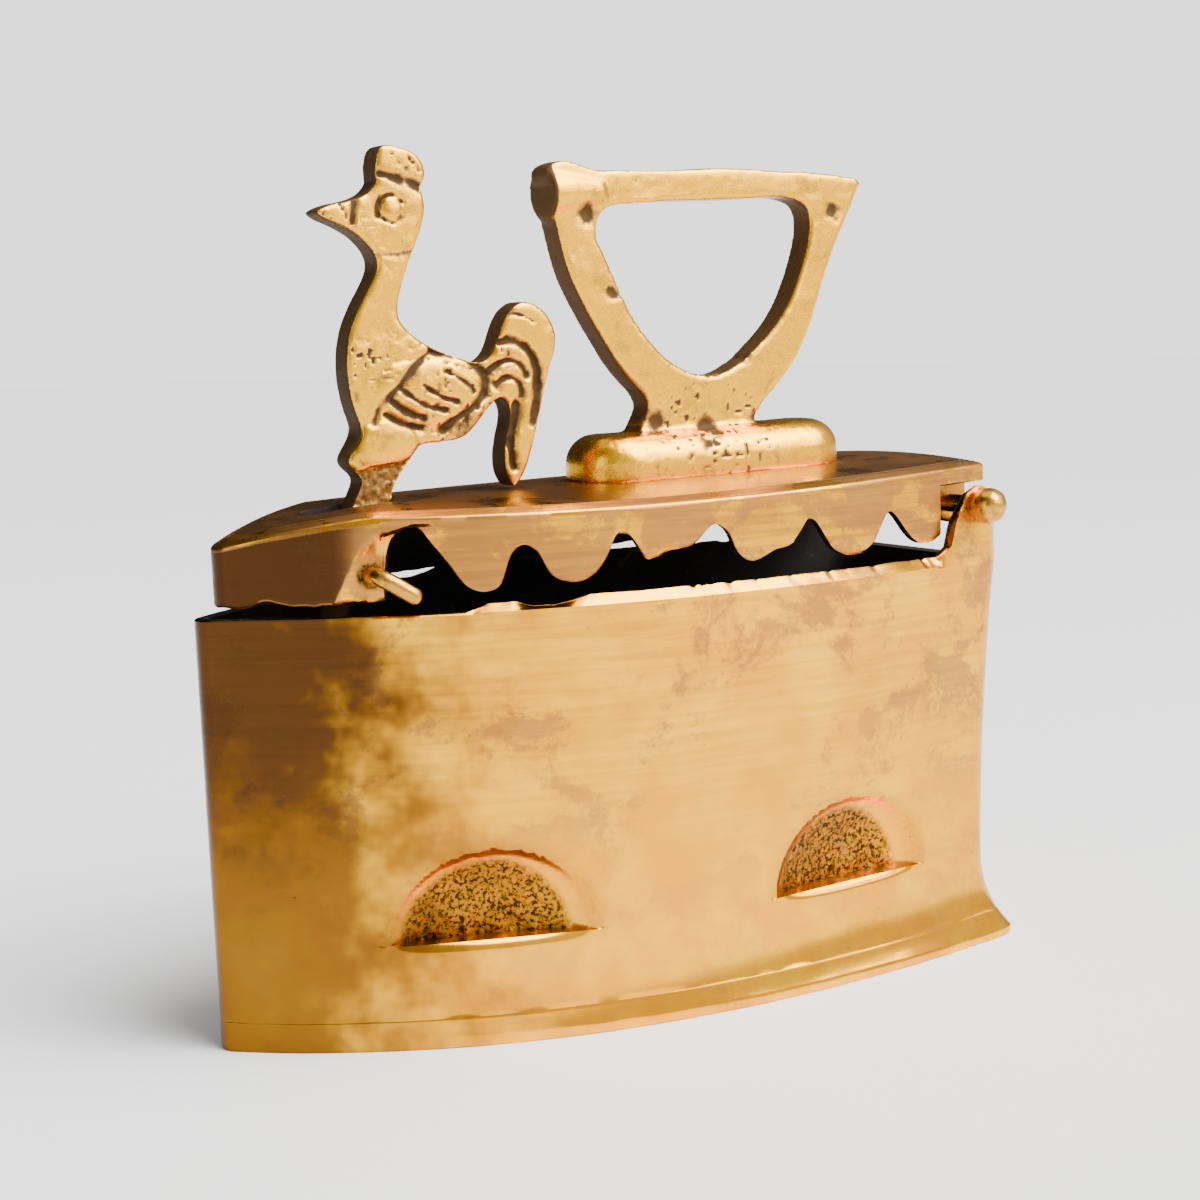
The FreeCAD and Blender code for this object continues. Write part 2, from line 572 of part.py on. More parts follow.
# ------------------------------------------------------------------ cockerel
def make_cockerel():
    """Flat cast cockerel: comb, beak, neck, body, hooped tail, leg, and the hook under the lid."""
    outline = Part.Wire([
        spline_xz([(-59.1, 128.1), (-57.1, 133.0), (-54.3, 136.6), (-50.7, 140.8)]),
        spline_xz([(-50.7, 140.8), (-44.1, 141.2), (-38.6, 142.0), (-33.7, 146.3), (-27.8, 150.8)]),
        spline_xz([(-27.8, 150.8), (-25.6, 148.0), (-26.6, 141.0), (-27.6, 134.0), (-25.5, 128.9)]),
        spline_xz([(-25.5, 128.9), (-22.8, 131.9), (-20.4, 137.6), (-17.9, 145.2), (-16.2, 151.2),
                   (-13.9, 158.0), (-12.3, 163.6), (-13.4, 167.9), (-16.5, 171.4), (-21.3, 172.6),
                   (-24.9, 170.2), (-27.4, 165.5), (-29.4, 161.4), (-32.7, 158.9), (-38.0, 159.8),
                   (-44.8, 162.4), (-51.1, 166.2), (-54.4, 170.4), (-53.8, 176.5), (-52.1, 181.1),
                   (-48.5, 188.6), (-46.5, 194.0), (-47.4, 200.6)]),
        spline_xz([(-47.4, 200.6), (-45.8, 204.6), (-48.0, 208.0), (-52.4, 209.6), (-56.4, 209.6),
                   (-57.9, 206.2), (-57.9, 201.9)]),
        spline_xz([(-57.9, 201.9), (-61.8, 198.4), (-66.6, 197.2), (-71.0, 196.3), (-73.6, 195.2)]),
        spline_xz([(-73.6, 195.2), (-71.6, 193.9), (-68.6, 192.6), (-65.4, 191.0), (-61.0, 187.6),
                   (-58.9, 183.0), (-60.7, 178.5), (-63.6, 174.0), (-66.6, 168.0), (-68.0, 160.4),
                   (-67.6, 153.6), (-66.4, 148.8), (-65.4, 145.2), (-67.0, 141.4), (-69.0, 137.6),
                   (-65.9, 133.8), (-67.4, 129.4), (-69.1, 126.1)]),
        spline_xz([(-69.1, 126.1), (-73.8, 120.9), (-77.6, 117.2), (-79.0, 112.8), (-78.0, 106.4),
                   (-79.4, 101.6), (-83.4, 99.2)]),
        Part.Arc(V(-83.4, 0, 99.2), V(-85.2, 0, 97.0), V(-83.4, 0, 94.8)).toShape(),
        spline_xz([(-83.4, 94.8), (-78.6, 94.8), (-74.6, 98.0), (-71.4, 103.4), (-68.8, 108.6),
                   (-67.8, 113.6), (-65.6, 118.6), (-61.6, 123.6), (-59.1, 128.1)]),
    ])
    bird = plate_xz(outline, BIRD_T / 2)
    return seat(bird.cut(cylinder_y(LATCH_PIN_R + RUNNING_GAP, -20, 20, LATCH_X, LATCH_Z)))


# ------------------------------------------------------------------ grate parts
def make_fire_grate():
    """Slotted plate for the coals, notched where the dimples stand into the box."""
    grate = prism(WAIST_Z, WALL + GRATE_GAP, GRATE_Z, GRATE_Z + GRATE_T)
    notches = []
    for x in DIMPLE_XS:
        for side in (-1, 1):
            point, normal = side_at(x, DIMPLE_LIP_Z)
            ball = half_moon(x, side, DIMPLE_LIP_Z - WALL, DIMPLE_HALF_W + WALL + 1.5,
                             DIMPLE_DEPTH + WALL + 1.5, DIMPLE_H)
            foot = [f for f in ball.Faces if f.BoundBox.ZLength < 1e-3][0]
            foot.translate(V(0, 0, GRATE_Z - 1 - foot.BoundBox.ZMin))
            notches.append(foot.extrude(V(0, 0, GRATE_T + 2)))
    slots = []
    x = -66.0
    while x < 92.0:
        half = min(26.0, abs(side_at(x, WAIST_Z)[0].y) - 17.0)
        if half > 6.0 and all(abs(x - fx) > FOOT_POST_R + GRATE_SLOT_W / 2 + 1
                              for fx, _ in GRATE_FEET.values()):
            slot = box(x - GRATE_SLOT_W / 2, x + GRATE_SLOT_W / 2, -half, half,
                       GRATE_Z - 1, GRATE_Z + GRATE_T + 1)
            slots.append(slot.cut(box(x - 10, x + 10, -2.0, 2.0, GRATE_Z - 2, GRATE_Z + GRATE_T + 2)))
        x += GRATE_SLOT_PITCH
    holes = [cylinder_z(FOOT_SPIGOT_R, 0, 40, x, y) for x, y in GRATE_FEET.values()]
    return grate.cut(notches + slots + holes)


def make_grate_foot(x, y):
    """Shouldered foot, its spigot riveted into the grate."""
    post = cylinder_z(FOOT_POST_R, SOLE_T, GRATE_Z, x, y)
    return post.fuse(cylinder_z(FOOT_SPIGOT_R, GRATE_Z, GRATE_Z + GRATE_T, x, y))


# ------------------------------------------------------------------ build and export
def main():
    os.makedirs("parts", exist_ok=True)
    parts = {
        "body_shell": make_body_shell(),
        "sole_plate": make_sole_plate(),
        "sole_rivets": make_sole_rivets(),
        "latch_keeper": make_latch_keeper(),
        "hinge_pin": make_hinge_pin(),
        "lid": make_lid(),
        "handle": make_handle(),
        "heat_shield": make_heat_shield(),
        "latch_pin": make_latch_pin(),
        "cockerel": make_cockerel(),
        "fire_grate": make_fire_grate(),
    }
    for end, x in zip(("front", "rear"), RIVET_XS):
        parts["handle_rivet_" + end] = make_handle_rivet(x)
        parts["rivet_washer_" + end] = make_rivet_washer(x)
        parts["shield_spacer_" + end] = make_shield_spacer(x)
    for place, (x, y) in GRATE_FEET.items():
        parts["grate_foot_" + place] = make_grate_foot(x, y)
    for name, shape in parts.items():
        if not shape.isValid() or not shape.Solids:
            raise RuntimeError(name + " is not a valid solid")
        print(name, len(shape.Solids), "solid(s)", round(shape.Volume), "mm3")
        shape.exportStep("parts/" + name + ".step")


main()
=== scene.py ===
"""Looks of the cast brass charcoal iron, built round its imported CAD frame.

Shapes are worked out in millimetres, in the frame's axes: +Z up, nose along -X, near side -Y.
Lid pieces are worked out with the lid level ("drawn") and then seated a little nose down.
"""
import math
import bmesh
import bpy
import numpy as np
from mathutils import Matrix, Vector


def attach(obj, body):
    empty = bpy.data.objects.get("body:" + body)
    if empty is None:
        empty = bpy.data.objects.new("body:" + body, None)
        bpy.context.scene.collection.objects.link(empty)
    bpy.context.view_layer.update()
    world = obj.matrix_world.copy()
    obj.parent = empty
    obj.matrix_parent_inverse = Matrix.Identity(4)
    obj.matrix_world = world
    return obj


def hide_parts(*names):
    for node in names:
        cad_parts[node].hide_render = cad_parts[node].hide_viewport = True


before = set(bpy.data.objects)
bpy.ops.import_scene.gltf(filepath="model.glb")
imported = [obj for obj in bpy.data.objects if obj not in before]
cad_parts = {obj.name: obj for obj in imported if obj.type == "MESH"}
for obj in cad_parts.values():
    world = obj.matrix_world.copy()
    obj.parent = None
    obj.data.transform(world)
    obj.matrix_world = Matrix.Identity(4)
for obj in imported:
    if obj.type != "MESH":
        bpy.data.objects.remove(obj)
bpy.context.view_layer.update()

MM = 0.001

# ---- box casting ----
NOSE_X, NOSE_LEAN, NOSE_R, NOSE_ANGLE, NOSE_REACH = -106.0, 1.6, 5.2, math.radians(40.3), 77.0
WAIST_REAR_X, REAR_HALF, REAR_ANGLE, REAR_REACH = 100.2, 34.4, math.radians(11.7), 65.0
CORNER_R, WAIST_Z, SIDE_FLARE, REAR_FLARE, FLARE_POWER = 9.0, 23.0, 3.6, 7.4, 2.3
RIM_SIDE_FLARE, RIM_REAR_FLARE, SOLE_EDGE, SOLE_T, RIM_Z, WALL = 0.4, 4.6, 2.0, 7.0, 101.0, 3.0
LIP_INSET, PLAIN_BEVEL, EAR_BEVEL, EAR_INSIDE_Y = 2.2, 0.4, 0.15, 26.4
# The filed stretch of the edge comes in between the first two x and goes out between the last two.
FILED_FROM, FILED_TO = (-56.0, -51.0), (77.0, 80.0)
EAR_DENT_X, EAR_DENT_Z, EAR_DENT_R = 90.2, 114.6, 3.2
LUG_XS, LUG_INSET = (-78.0, 0.0, 84.0), 8.4
DIMPLE_XS, DIMPLE_LIP_Z, DIMPLE_HALF_W, DIMPLE_H, DIMPLE_DEPTH = (-51.5, 46.5), 24.5, 24.5, 21.0, 7.0
DIMPLE_ROUGH, DIMPLE_SOFT, LIP_DENT, LIP_DENT_H = 0.5, 2.6, 1.3, 2.2
# Side view of the edge above the rim: worn nose part, thin filed lip, then the hinge ear.
EDGE_X = [-200.0, -56.0, -51.0, -45.0, -41.0, -36.0, -31.0, -27.0, 78.6, 83.4, 85.2, 91.0, 95.6, 100.0,
          100.8, 101.2, 101.25, 140.0]
EDGE_Z = [101.0, 101.0, 102.6, 102.7, 101.5, 101.4, 102.2, 103.2, 103.2, 106.0, 112.0, 118.9, 120.6,
          118.95, 117.3, 115.5, 110.9, 110.9]

# ---- hinge and latch ----
HINGE_X, HINGE_Z, HINGE_PIN_R, HEAD_R, HEAD_LENGTH = 95.6, 115.5, 2.5, 4.7, 7.0
KNUCKLE_R, KNUCKLE_Y = 5.2, (12.0, 23.0)
LATCH_X, LATCH_Z, LATCH_PIN_R = -73.5, 113.3, 2.05

# ---- lid, drawn level ----
LID_LEAN = math.radians(1.12)
LID_INSET, LID_NOSE_R, LID_STRETCH, SKIRT_T, PLATE_T, LID_REAR_X = 3.2, 5.0, 9.0, 2.6, 3.0, 100.6
LID_CORNER, FOOT_ROUND, WEB_TOP = 1.5, 0.3, 10.6
CROWN_Z, CROWN_R, DROOP_X, DROOP_R = 128.0, 400.0, -58.0, 165.0
# Grooved chamfer round the top: how far in each line of it lies, and how far under the crown.
CHAMFER = [(4.4, 0.0), (4.0, 0.28), (3.6, 0.06), (2.5, 0.34), (2.05, 0.66), (1.7, 0.46), (0.6, 0.82),
           (0.2, 1.05), (0.0, 1.4)]
# Latch recess: heights and x of the ridge that it starts from and of the arch that it ends at.
RECESS_RIDGE = ([107.0, 113.3, 118.0, 122.4, 124.4], [-82.2, -79.2, -77.0, -72.5, -66.0])
RECESS_ARCH = ([107.0, 113.0, 118.5, 122.6, 123.6], [-71.8, -71.8, -71.0, -68.6, -65.0])
RECESS_DEPTH, RECESS_FAN = 2.7, (-66.0, 104.0)
SLOT_X, SLOT_W = (-79.0, -56.8), 8.6
SKIRT_Z, EAR_NOTCH_X, REAR_FOOT_Z = 106.9, 82.2, 121.5
# Points of the skirt's wavy foot as x and z, on the near side and on the far side.
SKIRT_FOOT = [(-71.8, 107.0), (-71.8, 113.0), (-71.0, 118.5), (-68.6, 122.6), (-65.0, 123.6),
              (-61.8, 120.4), (-58.0, 115.0), (-55.2, 110.8), (-51.2, 108.2), (-47.4, 109.2),
              (-45.0, 114.4), (-41.5, 118.4), (-38.4, 116.6), (-35.6, 111.6), (-31.4, 109.0),
              (-25.6, 109.8), (-21.2, 114.6), (-17.8, 119.2), (-14.4, 116.6), (-11.4, 112.6),
              (-5.6, 113.8), (1.6, 115.0), (7.6, 119.1), (10.6, 117.4), (13.4, 112.4),
              (18.6, 109.2), (24.0, 111.0), (31.0, 112.8), (36.3, 117.7), (40.0, 114.4),
              (43.6, 109.6), (52.0, 107.3), (58.6, 111.2), (63.6, 116.8), (67.4, 113.8),
              (71.4, 109.4), (77.6, 107.4), (82.2, 109.0)]
FAR_FOOT = [(-71.8, 106.9), (-60.0, 106.6), (-50.0, 106.3), (-30.0, 106.0), (-10.0, 105.7), (12.0, 105.5),
            (30.0, 106.4), (40.4, 109.4), (45.6, 113.2), (51.0, 109.6), (56.0, 109.4), (61.0, 113.5),
            (66.0, 117.2), (71.0, 115.0), (76.0, 111.6), (82.2, 110.0)]

# ---- cockerel's relief, drawn level, in the side view ----
EYE, EYE_R, PUPIL_R = (-54.9, 195.7), 3.0, 2.6
WING, WING_HALF, WING_LEAN, WING_RISE = (-47.0, 152.3), (14.5, 8.0), math.radians(-12.0), 1.2
THIGH, THIGH_HALF, THIGH_RISE = (-59.6, 141.0), (8.5, 6.0), 0.9
BELLY, BELLY_R = (-38.5, 144.0), 4.5
BEAK_WORN_R, BEAK_WORN_BACK, BEAK_WORN_UP = 5.5, 2.6, 0.5
# Each cut: the points of its line as x and z, its half width and its depth.
CUTS = {
    "under the comb": ([(-57.0, 203.5), (-52.7, 202.6), (-47.4, 200.6)], 1.1, 1.1),
    "beak's root": ([(-64.0, 197.4), (-64.8, 195.0), (-65.0, 192.6)], 0.8, 0.8),
    "front of the eye": ([(-57.4, 198.2), (-58.3, 196.6), (-58.2, 194.4)], 0.75, 1.0),
    "throat": ([(-60.3, 185.3), (-53.8, 185.2), (-47.9, 186.3)], 0.9, 0.25),
    "back": ([(-46.5, 162.6), (-39.5, 160.9), (-34.8, 158.6), (-32.2, 154.8), (-34.8, 149.5),
              (-40.5, 146.3), (-44.5, 143.6)], 1.1, 1.3),
    "wing front": ([(-46.5, 162.6), (-52.4, 158.0), (-56.4, 153.8), (-60.2, 150.4),
                    (-62.2, 146.6)], 0.9, 0.55),
    "feather 1": ([(-43.6, 157.6), (-39.4, 155.6), (-35.8, 152.6)], 0.6, 0.8),
    "feather 2": ([(-49.2, 154.6), (-44.8, 151.6), (-40.6, 150.2)], 0.6, 0.8),
    "feather 3": ([(-55.2, 154.0), (-49.4, 150.1), (-43.4, 148.3)], 0.65, 0.9),
    "feather 4": ([(-57.4, 151.2), (-53.4, 148.2), (-49.6, 147.0)], 0.7, 1.0),
    "feather 5": ([(-59.4, 148.4), (-54.7, 145.8), (-49.8, 144.6)], 0.7, 1.0),
    "tail 1": ([(-27.2, 169.4), (-23.1, 170.2), (-18.5, 168.2)], 0.5, 0.5),
    "tail 2": ([(-29.2, 163.4), (-24.2, 163.9), (-19.9, 161.3), (-18.0, 157.2), (-18.1, 150.4),
                (-19.3, 144.2)], 1.0, 1.4),
    "tail 3": ([(-31.6, 156.4), (-27.6, 158.8), (-23.0, 158.3), (-21.0, 155.6)], 0.9, 1.2),
    "tail 4": ([(-29.4, 153.6), (-26.3, 155.2), (-23.2, 153.9), (-22.4, 150.4)], 0.9, 1.2),
    "hanging feather": ([(-23.9, 148.4), (-25.0, 142.7), (-25.9, 136.7), (-25.3, 133.4)], 1.2, 1.6),
}
# Sunken spots on the handle, drawn level: x, z, size and depth.
HANDLE_SPOTS = [(-1.7, 193.6, 2.2, 0.9), (73.2, 193.0, 2.0, 0.9), (16.0, 141.5, 2.6, 0.7),
                (30.7, 139.5, 2.2, 0.7), (26.5, 135.4, 1.8, 0.6), (46.8, 141.0, 2.0, 0.6),
                (4.5, 174.1, 1.7, 0.7), (44.0, 157.0, 1.6, 0.5)]

# ---- fineness ----
LATTICE, CURVE_STEPS, NOSE_STEPS, REAR_STEPS = 32, 4001, 9, 9


# ------------------------------------------------------------------ numbers
def ease(low, high, value):
    """0 below low, 1 above high, and a smooth S between them."""
    part = np.clip((value - low) / (high - low), 0.0, 1.0)
    return part * part * (3.0 - 2.0 * part)


def noise(points, size, seed):
    """Smooth noise from -1 to 1: random heights on a cubic lattice of that size, eased between."""
    table = np.random.RandomState(seed).uniform(-1.0, 1.0, (LATTICE, LATTICE, LATTICE))
    cell = points / size
    low = np.floor(cell).astype(int)
    part = cell - low
    part = part * part * (3.0 - 2.0 * part)
    total = 0.0
    for corner in np.ndindex(2, 2, 2):
        corner = np.array(corner)
        weight = np.prod(np.where(corner == 1, part, 1.0 - part), axis=-1)
        index = (low + corner) % LATTICE
        total = total + weight * table[index[..., 0], index[..., 1], index[..., 2]]
    return total


def layered_noise(points, size, seed, layers=3):
    """Noise with finer and weaker layers added, each half the size and half the height."""
    return sum(noise(points, size / 2 ** k, seed + k) / 2 ** k for k in range(layers))


def line_distance(x, z, line):
    """Distance in the side view from each point to a bent line."""
    nearest = np.full(np.shape(x), 1e9)
    for (ax, az), (bx, bz) in zip(line, line[1:]):
        run = np.array([bx - ax, bz - az])
        share = np.clip(((x - ax) * run[0] + (z - az) * run[1]) / run.dot(run), 0.0, 1.0)
        nearest = np.minimum(nearest, np.hypot(x - ax - share * run[0], z - az - share * run[1]))
    return nearest


def smooth_line(points, steps=24):
    """Natural cubic spline through points, spaced along it by their chords, as many short steps."""
    points = np.array(points)
    knots = np.concatenate([[0.0], np.cumsum(np.linalg.norm(np.diff(points, axis=0), axis=1))])
    h = np.diff(knots)
    n = len(points)
    matrix = np.eye(n)
    inside = np.arange(1, n - 1)
    matrix[inside, inside - 1] = h[:-1]
    matrix[inside, inside] = 2.0 * (h[:-1] + h[1:])
    matrix[inside, inside + 1] = h[1:]
    slope = np.diff(points, axis=0) / h[:, None]
    right = np.zeros_like(points)
    right[1:-1] = 6.0 * np.diff(slope, axis=0)
    bend = np.linalg.solve(matrix, right)
    share = np.linspace(0.0, 1.0, steps, endpoint=False)[None, :, None]
    a, b = points[:-1, None], points[1:, None]
    m0, m1, step = bend[:-1, None], bend[1:, None], h[:, None, None]
    curve = (a * (1 - share) + b * share
             + step ** 2 / 6.0 * (((1 - share) ** 3 - (1 - share)) * m0 + (share ** 3 - share) * m1))
    return np.concatenate([curve.reshape(-1, 2), points[-1:]])


def leaned(points, angle):
    """Points turned nose down by that angle about the hinge pin's axis."""
    dx, dz = points[..., 0] - HINGE_X, points[..., 2] - HINGE_Z
    cos, sin = math.cos(angle), math.sin(angle)
    return np.stack([HINGE_X + dx * cos - dz * sin, points[..., 1], HINGE_Z + dx * sin + dz * cos], -1)


def seated(points):
    """Drawn lid points turned nose down, as the lid lies on the box."""
    return leaned(points, LID_LEAN)


def drawn(points):
    """Seated lid points turned back level."""
    return leaned(points, -LID_LEAN)


# ------------------------------------------------------------------ meshes
def surface(name, grid, ring=False, finishes=(), bands=None, marks=0.0, toning=0.0, crease=35.0):
    """Closed surface on a grid of rows and columns of points in millimetres.

    Columns join up into loops. Rows join up too on a ring, and otherwise end in a pole at
    each end. bands gives each row's finish, marks the darkening of pockets, grooves, joints
    and the ear's dent, and toning the brown at each point; on the lid, toning also carries
    the painted dark reflection at its nose.
    """
    rows, columns = grid.shape[:2]
    row, column = np.meshgrid(np.arange(rows if ring else rows - 1), np.arange(columns), indexing="ij")
    next_row, next_column = (row + 1) % rows, (column + 1) % columns
    corners = [row * columns + column, row * columns + next_column,
               next_row * columns + next_column, next_row * columns + column]
    faces = np.stack(corners, -1).reshape(-1, 4)
    mesh = bpy.data.meshes.new(name)
    mesh.from_pydata((MM * grid.reshape(-1, 3)).tolist(), [], faces.tolist())
    if bands is not None:
        face_bands = np.repeat(np.asarray(bands)[:row.shape[0]], columns)
        mesh.polygons.foreach_set("material_index", face_bands.astype(np.int32))
    add_marks(mesh, "dirt_and_shade", np.broadcast_to(marks, (rows, columns)))
    add_marks(mesh, "toning", np.broadcast_to(toning, (rows, columns)))
    tidy_mesh(mesh, crease)
    return add_piece(name, mesh, finishes)


def add_marks(mesh, name, values):
    layer = mesh.attributes.new(name, "FLOAT", "POINT")
    layer.data.foreach_set("value", np.asarray(values, np.float32).reshape(-1))


def tidy_mesh(mesh, crease):
    """Merges the poles' doubles, turns the faces outwards and keeps edges over crease degrees sharp."""
    cells = bmesh.new()
    cells.from_mesh(mesh)
    bmesh.ops.remove_doubles(cells, verts=cells.verts, dist=2e-6)
    bmesh.ops.recalc_face_normals(cells, faces=cells.faces)
    cells.to_mesh(mesh)
    cells.free()
    mesh.polygons.foreach_set("use_smooth", np.ones(len(mesh.polygons), bool))
    mesh.set_sharp_from_angle(angle=math.radians(crease))


def add_object(name, data):
    thing = bpy.data.objects.new(name, data)
    bpy.context.scene.collection.objects.link(thing)
    return thing


def add_piece(name, mesh, finishes):
    for finish in finishes:
        mesh.materials.append(finish)
    return add_object(name, mesh)


def cast_copy(node, name, square, rounds, finish):
    """Copy of a casting's CAD node in even small squares, its edges rounded by smoothing."""
    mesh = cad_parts[node].data.copy()
    mesh.materials.clear()
    cells = bmesh.new()
    cells.from_mesh(mesh)
    bmesh.ops.remove_doubles(cells, verts=cells.verts, dist=1e-6)
    cells.to_mesh(mesh)
    cells.free()
    rough = add_piece(name + "_rough", mesh, ())
    squares = rough.modifiers.new("even squares", "REMESH")
    squares.mode = "VOXEL"
    squares.voxel_size = square * MM
    rounded = rough.modifiers.new("rounded", "SMOOTH")
    rounded.factor = 0.5
    rounded.iterations = rounds
    shape = rough.evaluated_get(bpy.context.evaluated_depsgraph_get())
    result = bpy.data.meshes.new_from_object(shape)
    bpy.data.objects.remove(rough)
    result.polygons.foreach_set("use_smooth", np.ones(len(result.polygons), bool))
    return add_piece(name, result, (finish,))


def mesh_arrays(piece):
    """Points in millimetres, and the outward direction at each."""
    arrays = []
    for key in ("co", "normal"):
        values = np.zeros(len(piece.data.vertices) * 3, np.float32)
        piece.data.vertices.foreach_get(key, values)
        arrays.append(values.reshape(-1, 3).astype(float))
    return arrays[0] / MM, arrays[1]


def set_points(piece, points):
    piece.data.vertices.foreach_set("co", (MM * points).astype(np.float32).reshape(-1))
    piece.data.update()


# ------------------------------------------------------------------ outlines
def flare(z, at_sole, at_rim):
    """How far the wall stands out from its waist at heights z."""
    down = np.clip((WAIST_Z - z) / (WAIST_Z - SOLE_EDGE), 0.0, 1.0)
    up = np.clip((z - WAIST_Z) / (RIM_Z - WAIST_Z), 0.0, 1.0)
    return at_sole * down ** FLARE_POWER + at_rim * up ** 2


def side_flare(z):
    return flare(z, SIDE_FLARE, RIM_SIDE_FLARE)


def rear_x(z):
    return WAIST_REAR_X + flare(z, REAR_FLARE, RIM_REAR_FLARE)


def side_poles(z, inset, nose_r=None, stretch=0.0):
    """Nose centre, corner centre and the four poles of the side's curve at heights z, all (n, 2)."""
    z, inset = np.broadcast_arrays(np.asarray(z, float), np.asarray(inset, float))
    a, b = NOSE_ANGLE, REAR_ANGLE
    sharp_r = NOSE_R - inset
    nose_r = sharp_r if nose_r is None else np.broadcast_to(nose_r, z.shape)
    along, out = np.array([math.cos(a), math.sin(a)]), np.array([-math.sin(a), math.cos(a)])
    zero = np.zeros_like(z)
    sharp = np.stack([NOSE_X - NOSE_LEAN * np.clip(z, 0, RIM_Z) / RIM_Z + NOSE_R, zero], -1)
    nose = sharp + np.stack([(nose_r - sharp_r) / math.sin(a), zero], -1)
    pole_1 = sharp + out * sharp_r[..., None] + along * NOSE_REACH + np.stack([zero, side_flare(z)], -1)
    corner = np.stack([rear_x(z) - CORNER_R + stretch,
                       REAR_HALF + side_flare(z) - CORNER_R * math.cos(b) - stretch * math.tan(b)], -1)
    end = corner + np.array([math.sin(b), math.cos(b)]) * (CORNER_R - inset)[..., None]
    pole_2 = end + np.array([-math.cos(b), math.sin(b)]) * (REAR_REACH + stretch / math.cos(b))
    return nose, corner, [nose + out * nose_r[..., None], pole_1, pole_2, end], nose_r


def side_curve(poles, t):
    """Cubic curve with those poles at shares t, as (heights, shares, 2)."""
    p0, p1, p2, p3 = (p[..., None, :] for p in poles)
    t = t[:, None]
    return p0 * (1 - t) ** 3 + 3 * p1 * t * (1 - t) ** 2 + 3 * p2 * t ** 2 * (1 - t) + p3 * t ** 3


def curve_shares(xs, z, inset, nose_r=None, stretch=0.0):
    """Shares of the side's curve at which it passes those x."""
    t = np.linspace(0.0, 1.0, CURVE_STEPS)
    poles = side_poles(z, inset, nose_r, stretch)[2]
    return np.interp(xs, side_curve(poles, t)[..., 0], t)


def whole_loop(half):
    """Half outlines (rows, n, 2) from nose tip to the middle of the back, closed with their mirror."""
    back = half[:, -2:0:-1] * np.array([1.0, -1.0])
    return np.concatenate([half, back], axis=1)


def nose_arc(nose, radius):
    """The round nose from its tip to where the side's curve starts: (rows, NOSE_STEPS, 2)."""
    turn = np.linspace(math.pi, math.pi / 2 + NOSE_ANGLE, NOSE_STEPS, endpoint=False)
    ring = np.stack([np.cos(turn), np.sin(turn)], -1)
    return nose[:, None] + ring * radius[:, None, None]


def box_loop(z, inset, shares, corner_turns):
    """The box's closed outline at heights z, moved in by inset: (rows, columns, 3)."""
    z, inset = np.broadcast_arrays(np.asarray(z, float), np.asarray(inset, float))
    nose, corner, poles, nose_r = side_poles(z, inset)
    turn = np.radians(corner_turns)
    ring = np.stack([np.cos(turn), np.sin(turn)], -1)
    arc = corner[:, None] + ring * (CORNER_R - inset)[:, None, None]
    share = np.linspace(1.0, 0.0, REAR_STEPS)[1:]
    rear = np.stack([np.broadcast_to(arc[:, -1:, 0], (len(z), len(share))), arc[:, -1:, 1] * share], -1)
    half = np.concatenate([nose_arc(nose, nose_r), side_curve(poles, shares), arc, rear], axis=1)
    loop = whole_loop(half)
    heights = np.broadcast_to(z[:, None, None], loop.shape[:2] + (1,))
    return np.concatenate([loop, heights], -1)


def lid_loop(inset, shares):
    """The lid's closed outline moved in by inset, square at the back: (rows, columns, 2)."""
    inset = np.atleast_1d(np.asarray(inset, float))
    rim = np.full(inset.shape, RIM_Z)
    nose, _, poles, nose_r = side_poles(rim, LID_INSET + inset, LID_NOSE_R - inset, LID_STRETCH)
    side = side_curve(poles, shares)
    back_x = LID_REAR_X - inset
    over = np.clip((side[..., 0] - (back_x[:, None] - LID_CORNER)) / LID_CORNER, 0.0, 1.0)
    side[..., 1] -= LID_CORNER * (1.0 - np.sqrt(np.clip(1.0 - over ** 2, 0.0, 1.0)))
    side[..., 0] = np.minimum(side[..., 0], back_x[:, None])
    share = np.linspace(1.0, 0.0, 16)[1:]
    rear = np.stack([np.broadcast_to(back_x[:, None], (len(inset), len(share))),
                     side[:, -1:, 1] * share], -1)
    half = np.concatenate([nose_arc(nose, nose_r), side, rear], axis=1)
    return whole_loop(half)


def side_point(x, z):
    """Point of the box's outside at that x and height on the -Y side, and the direction inwards."""
    poles = side_poles(np.array([z]), np.array([0.0]))[2]
    t = np.linspace(0.0, 1.0, CURVE_STEPS)
    curve = side_curve(poles, t)[0]
    i = np.argmin(abs(curve[:, 0] - x))
    run = curve[i + 1] - curve[i - 1]
    run = run / np.linalg.norm(run)
    return np.array([curve[i, 0], -curve[i, 1]]), np.array([-run[1], run[0]]) * np.array([-1, 1])


# ------------------------------------------------------------------ box pieces
def pocket_depth(points, x, side, low, half_w, height, depth):
    """Upper half of an ellipsoid centred on the wall: how far in it lies, the wall's own depth,
    its direction inwards, and its share of the way out from the middle (1 at its edge)."""
    start, inward = side_point(x, DIMPLE_LIP_Z)
    mirror = np.array([1.0, -side])
    start, inward = start * mirror, inward * mirror
    run = np.array([-inward[1], inward[0]])
    offset = points[..., :2] - start
    share = (offset @ run / half_w) ** 2 + ((points[..., 2] - low) / height) ** 2
    hollow = depth * np.sign(1.0 - share) * np.sqrt(abs(1.0 - share))
    return hollow, offset @ inward, inward, share


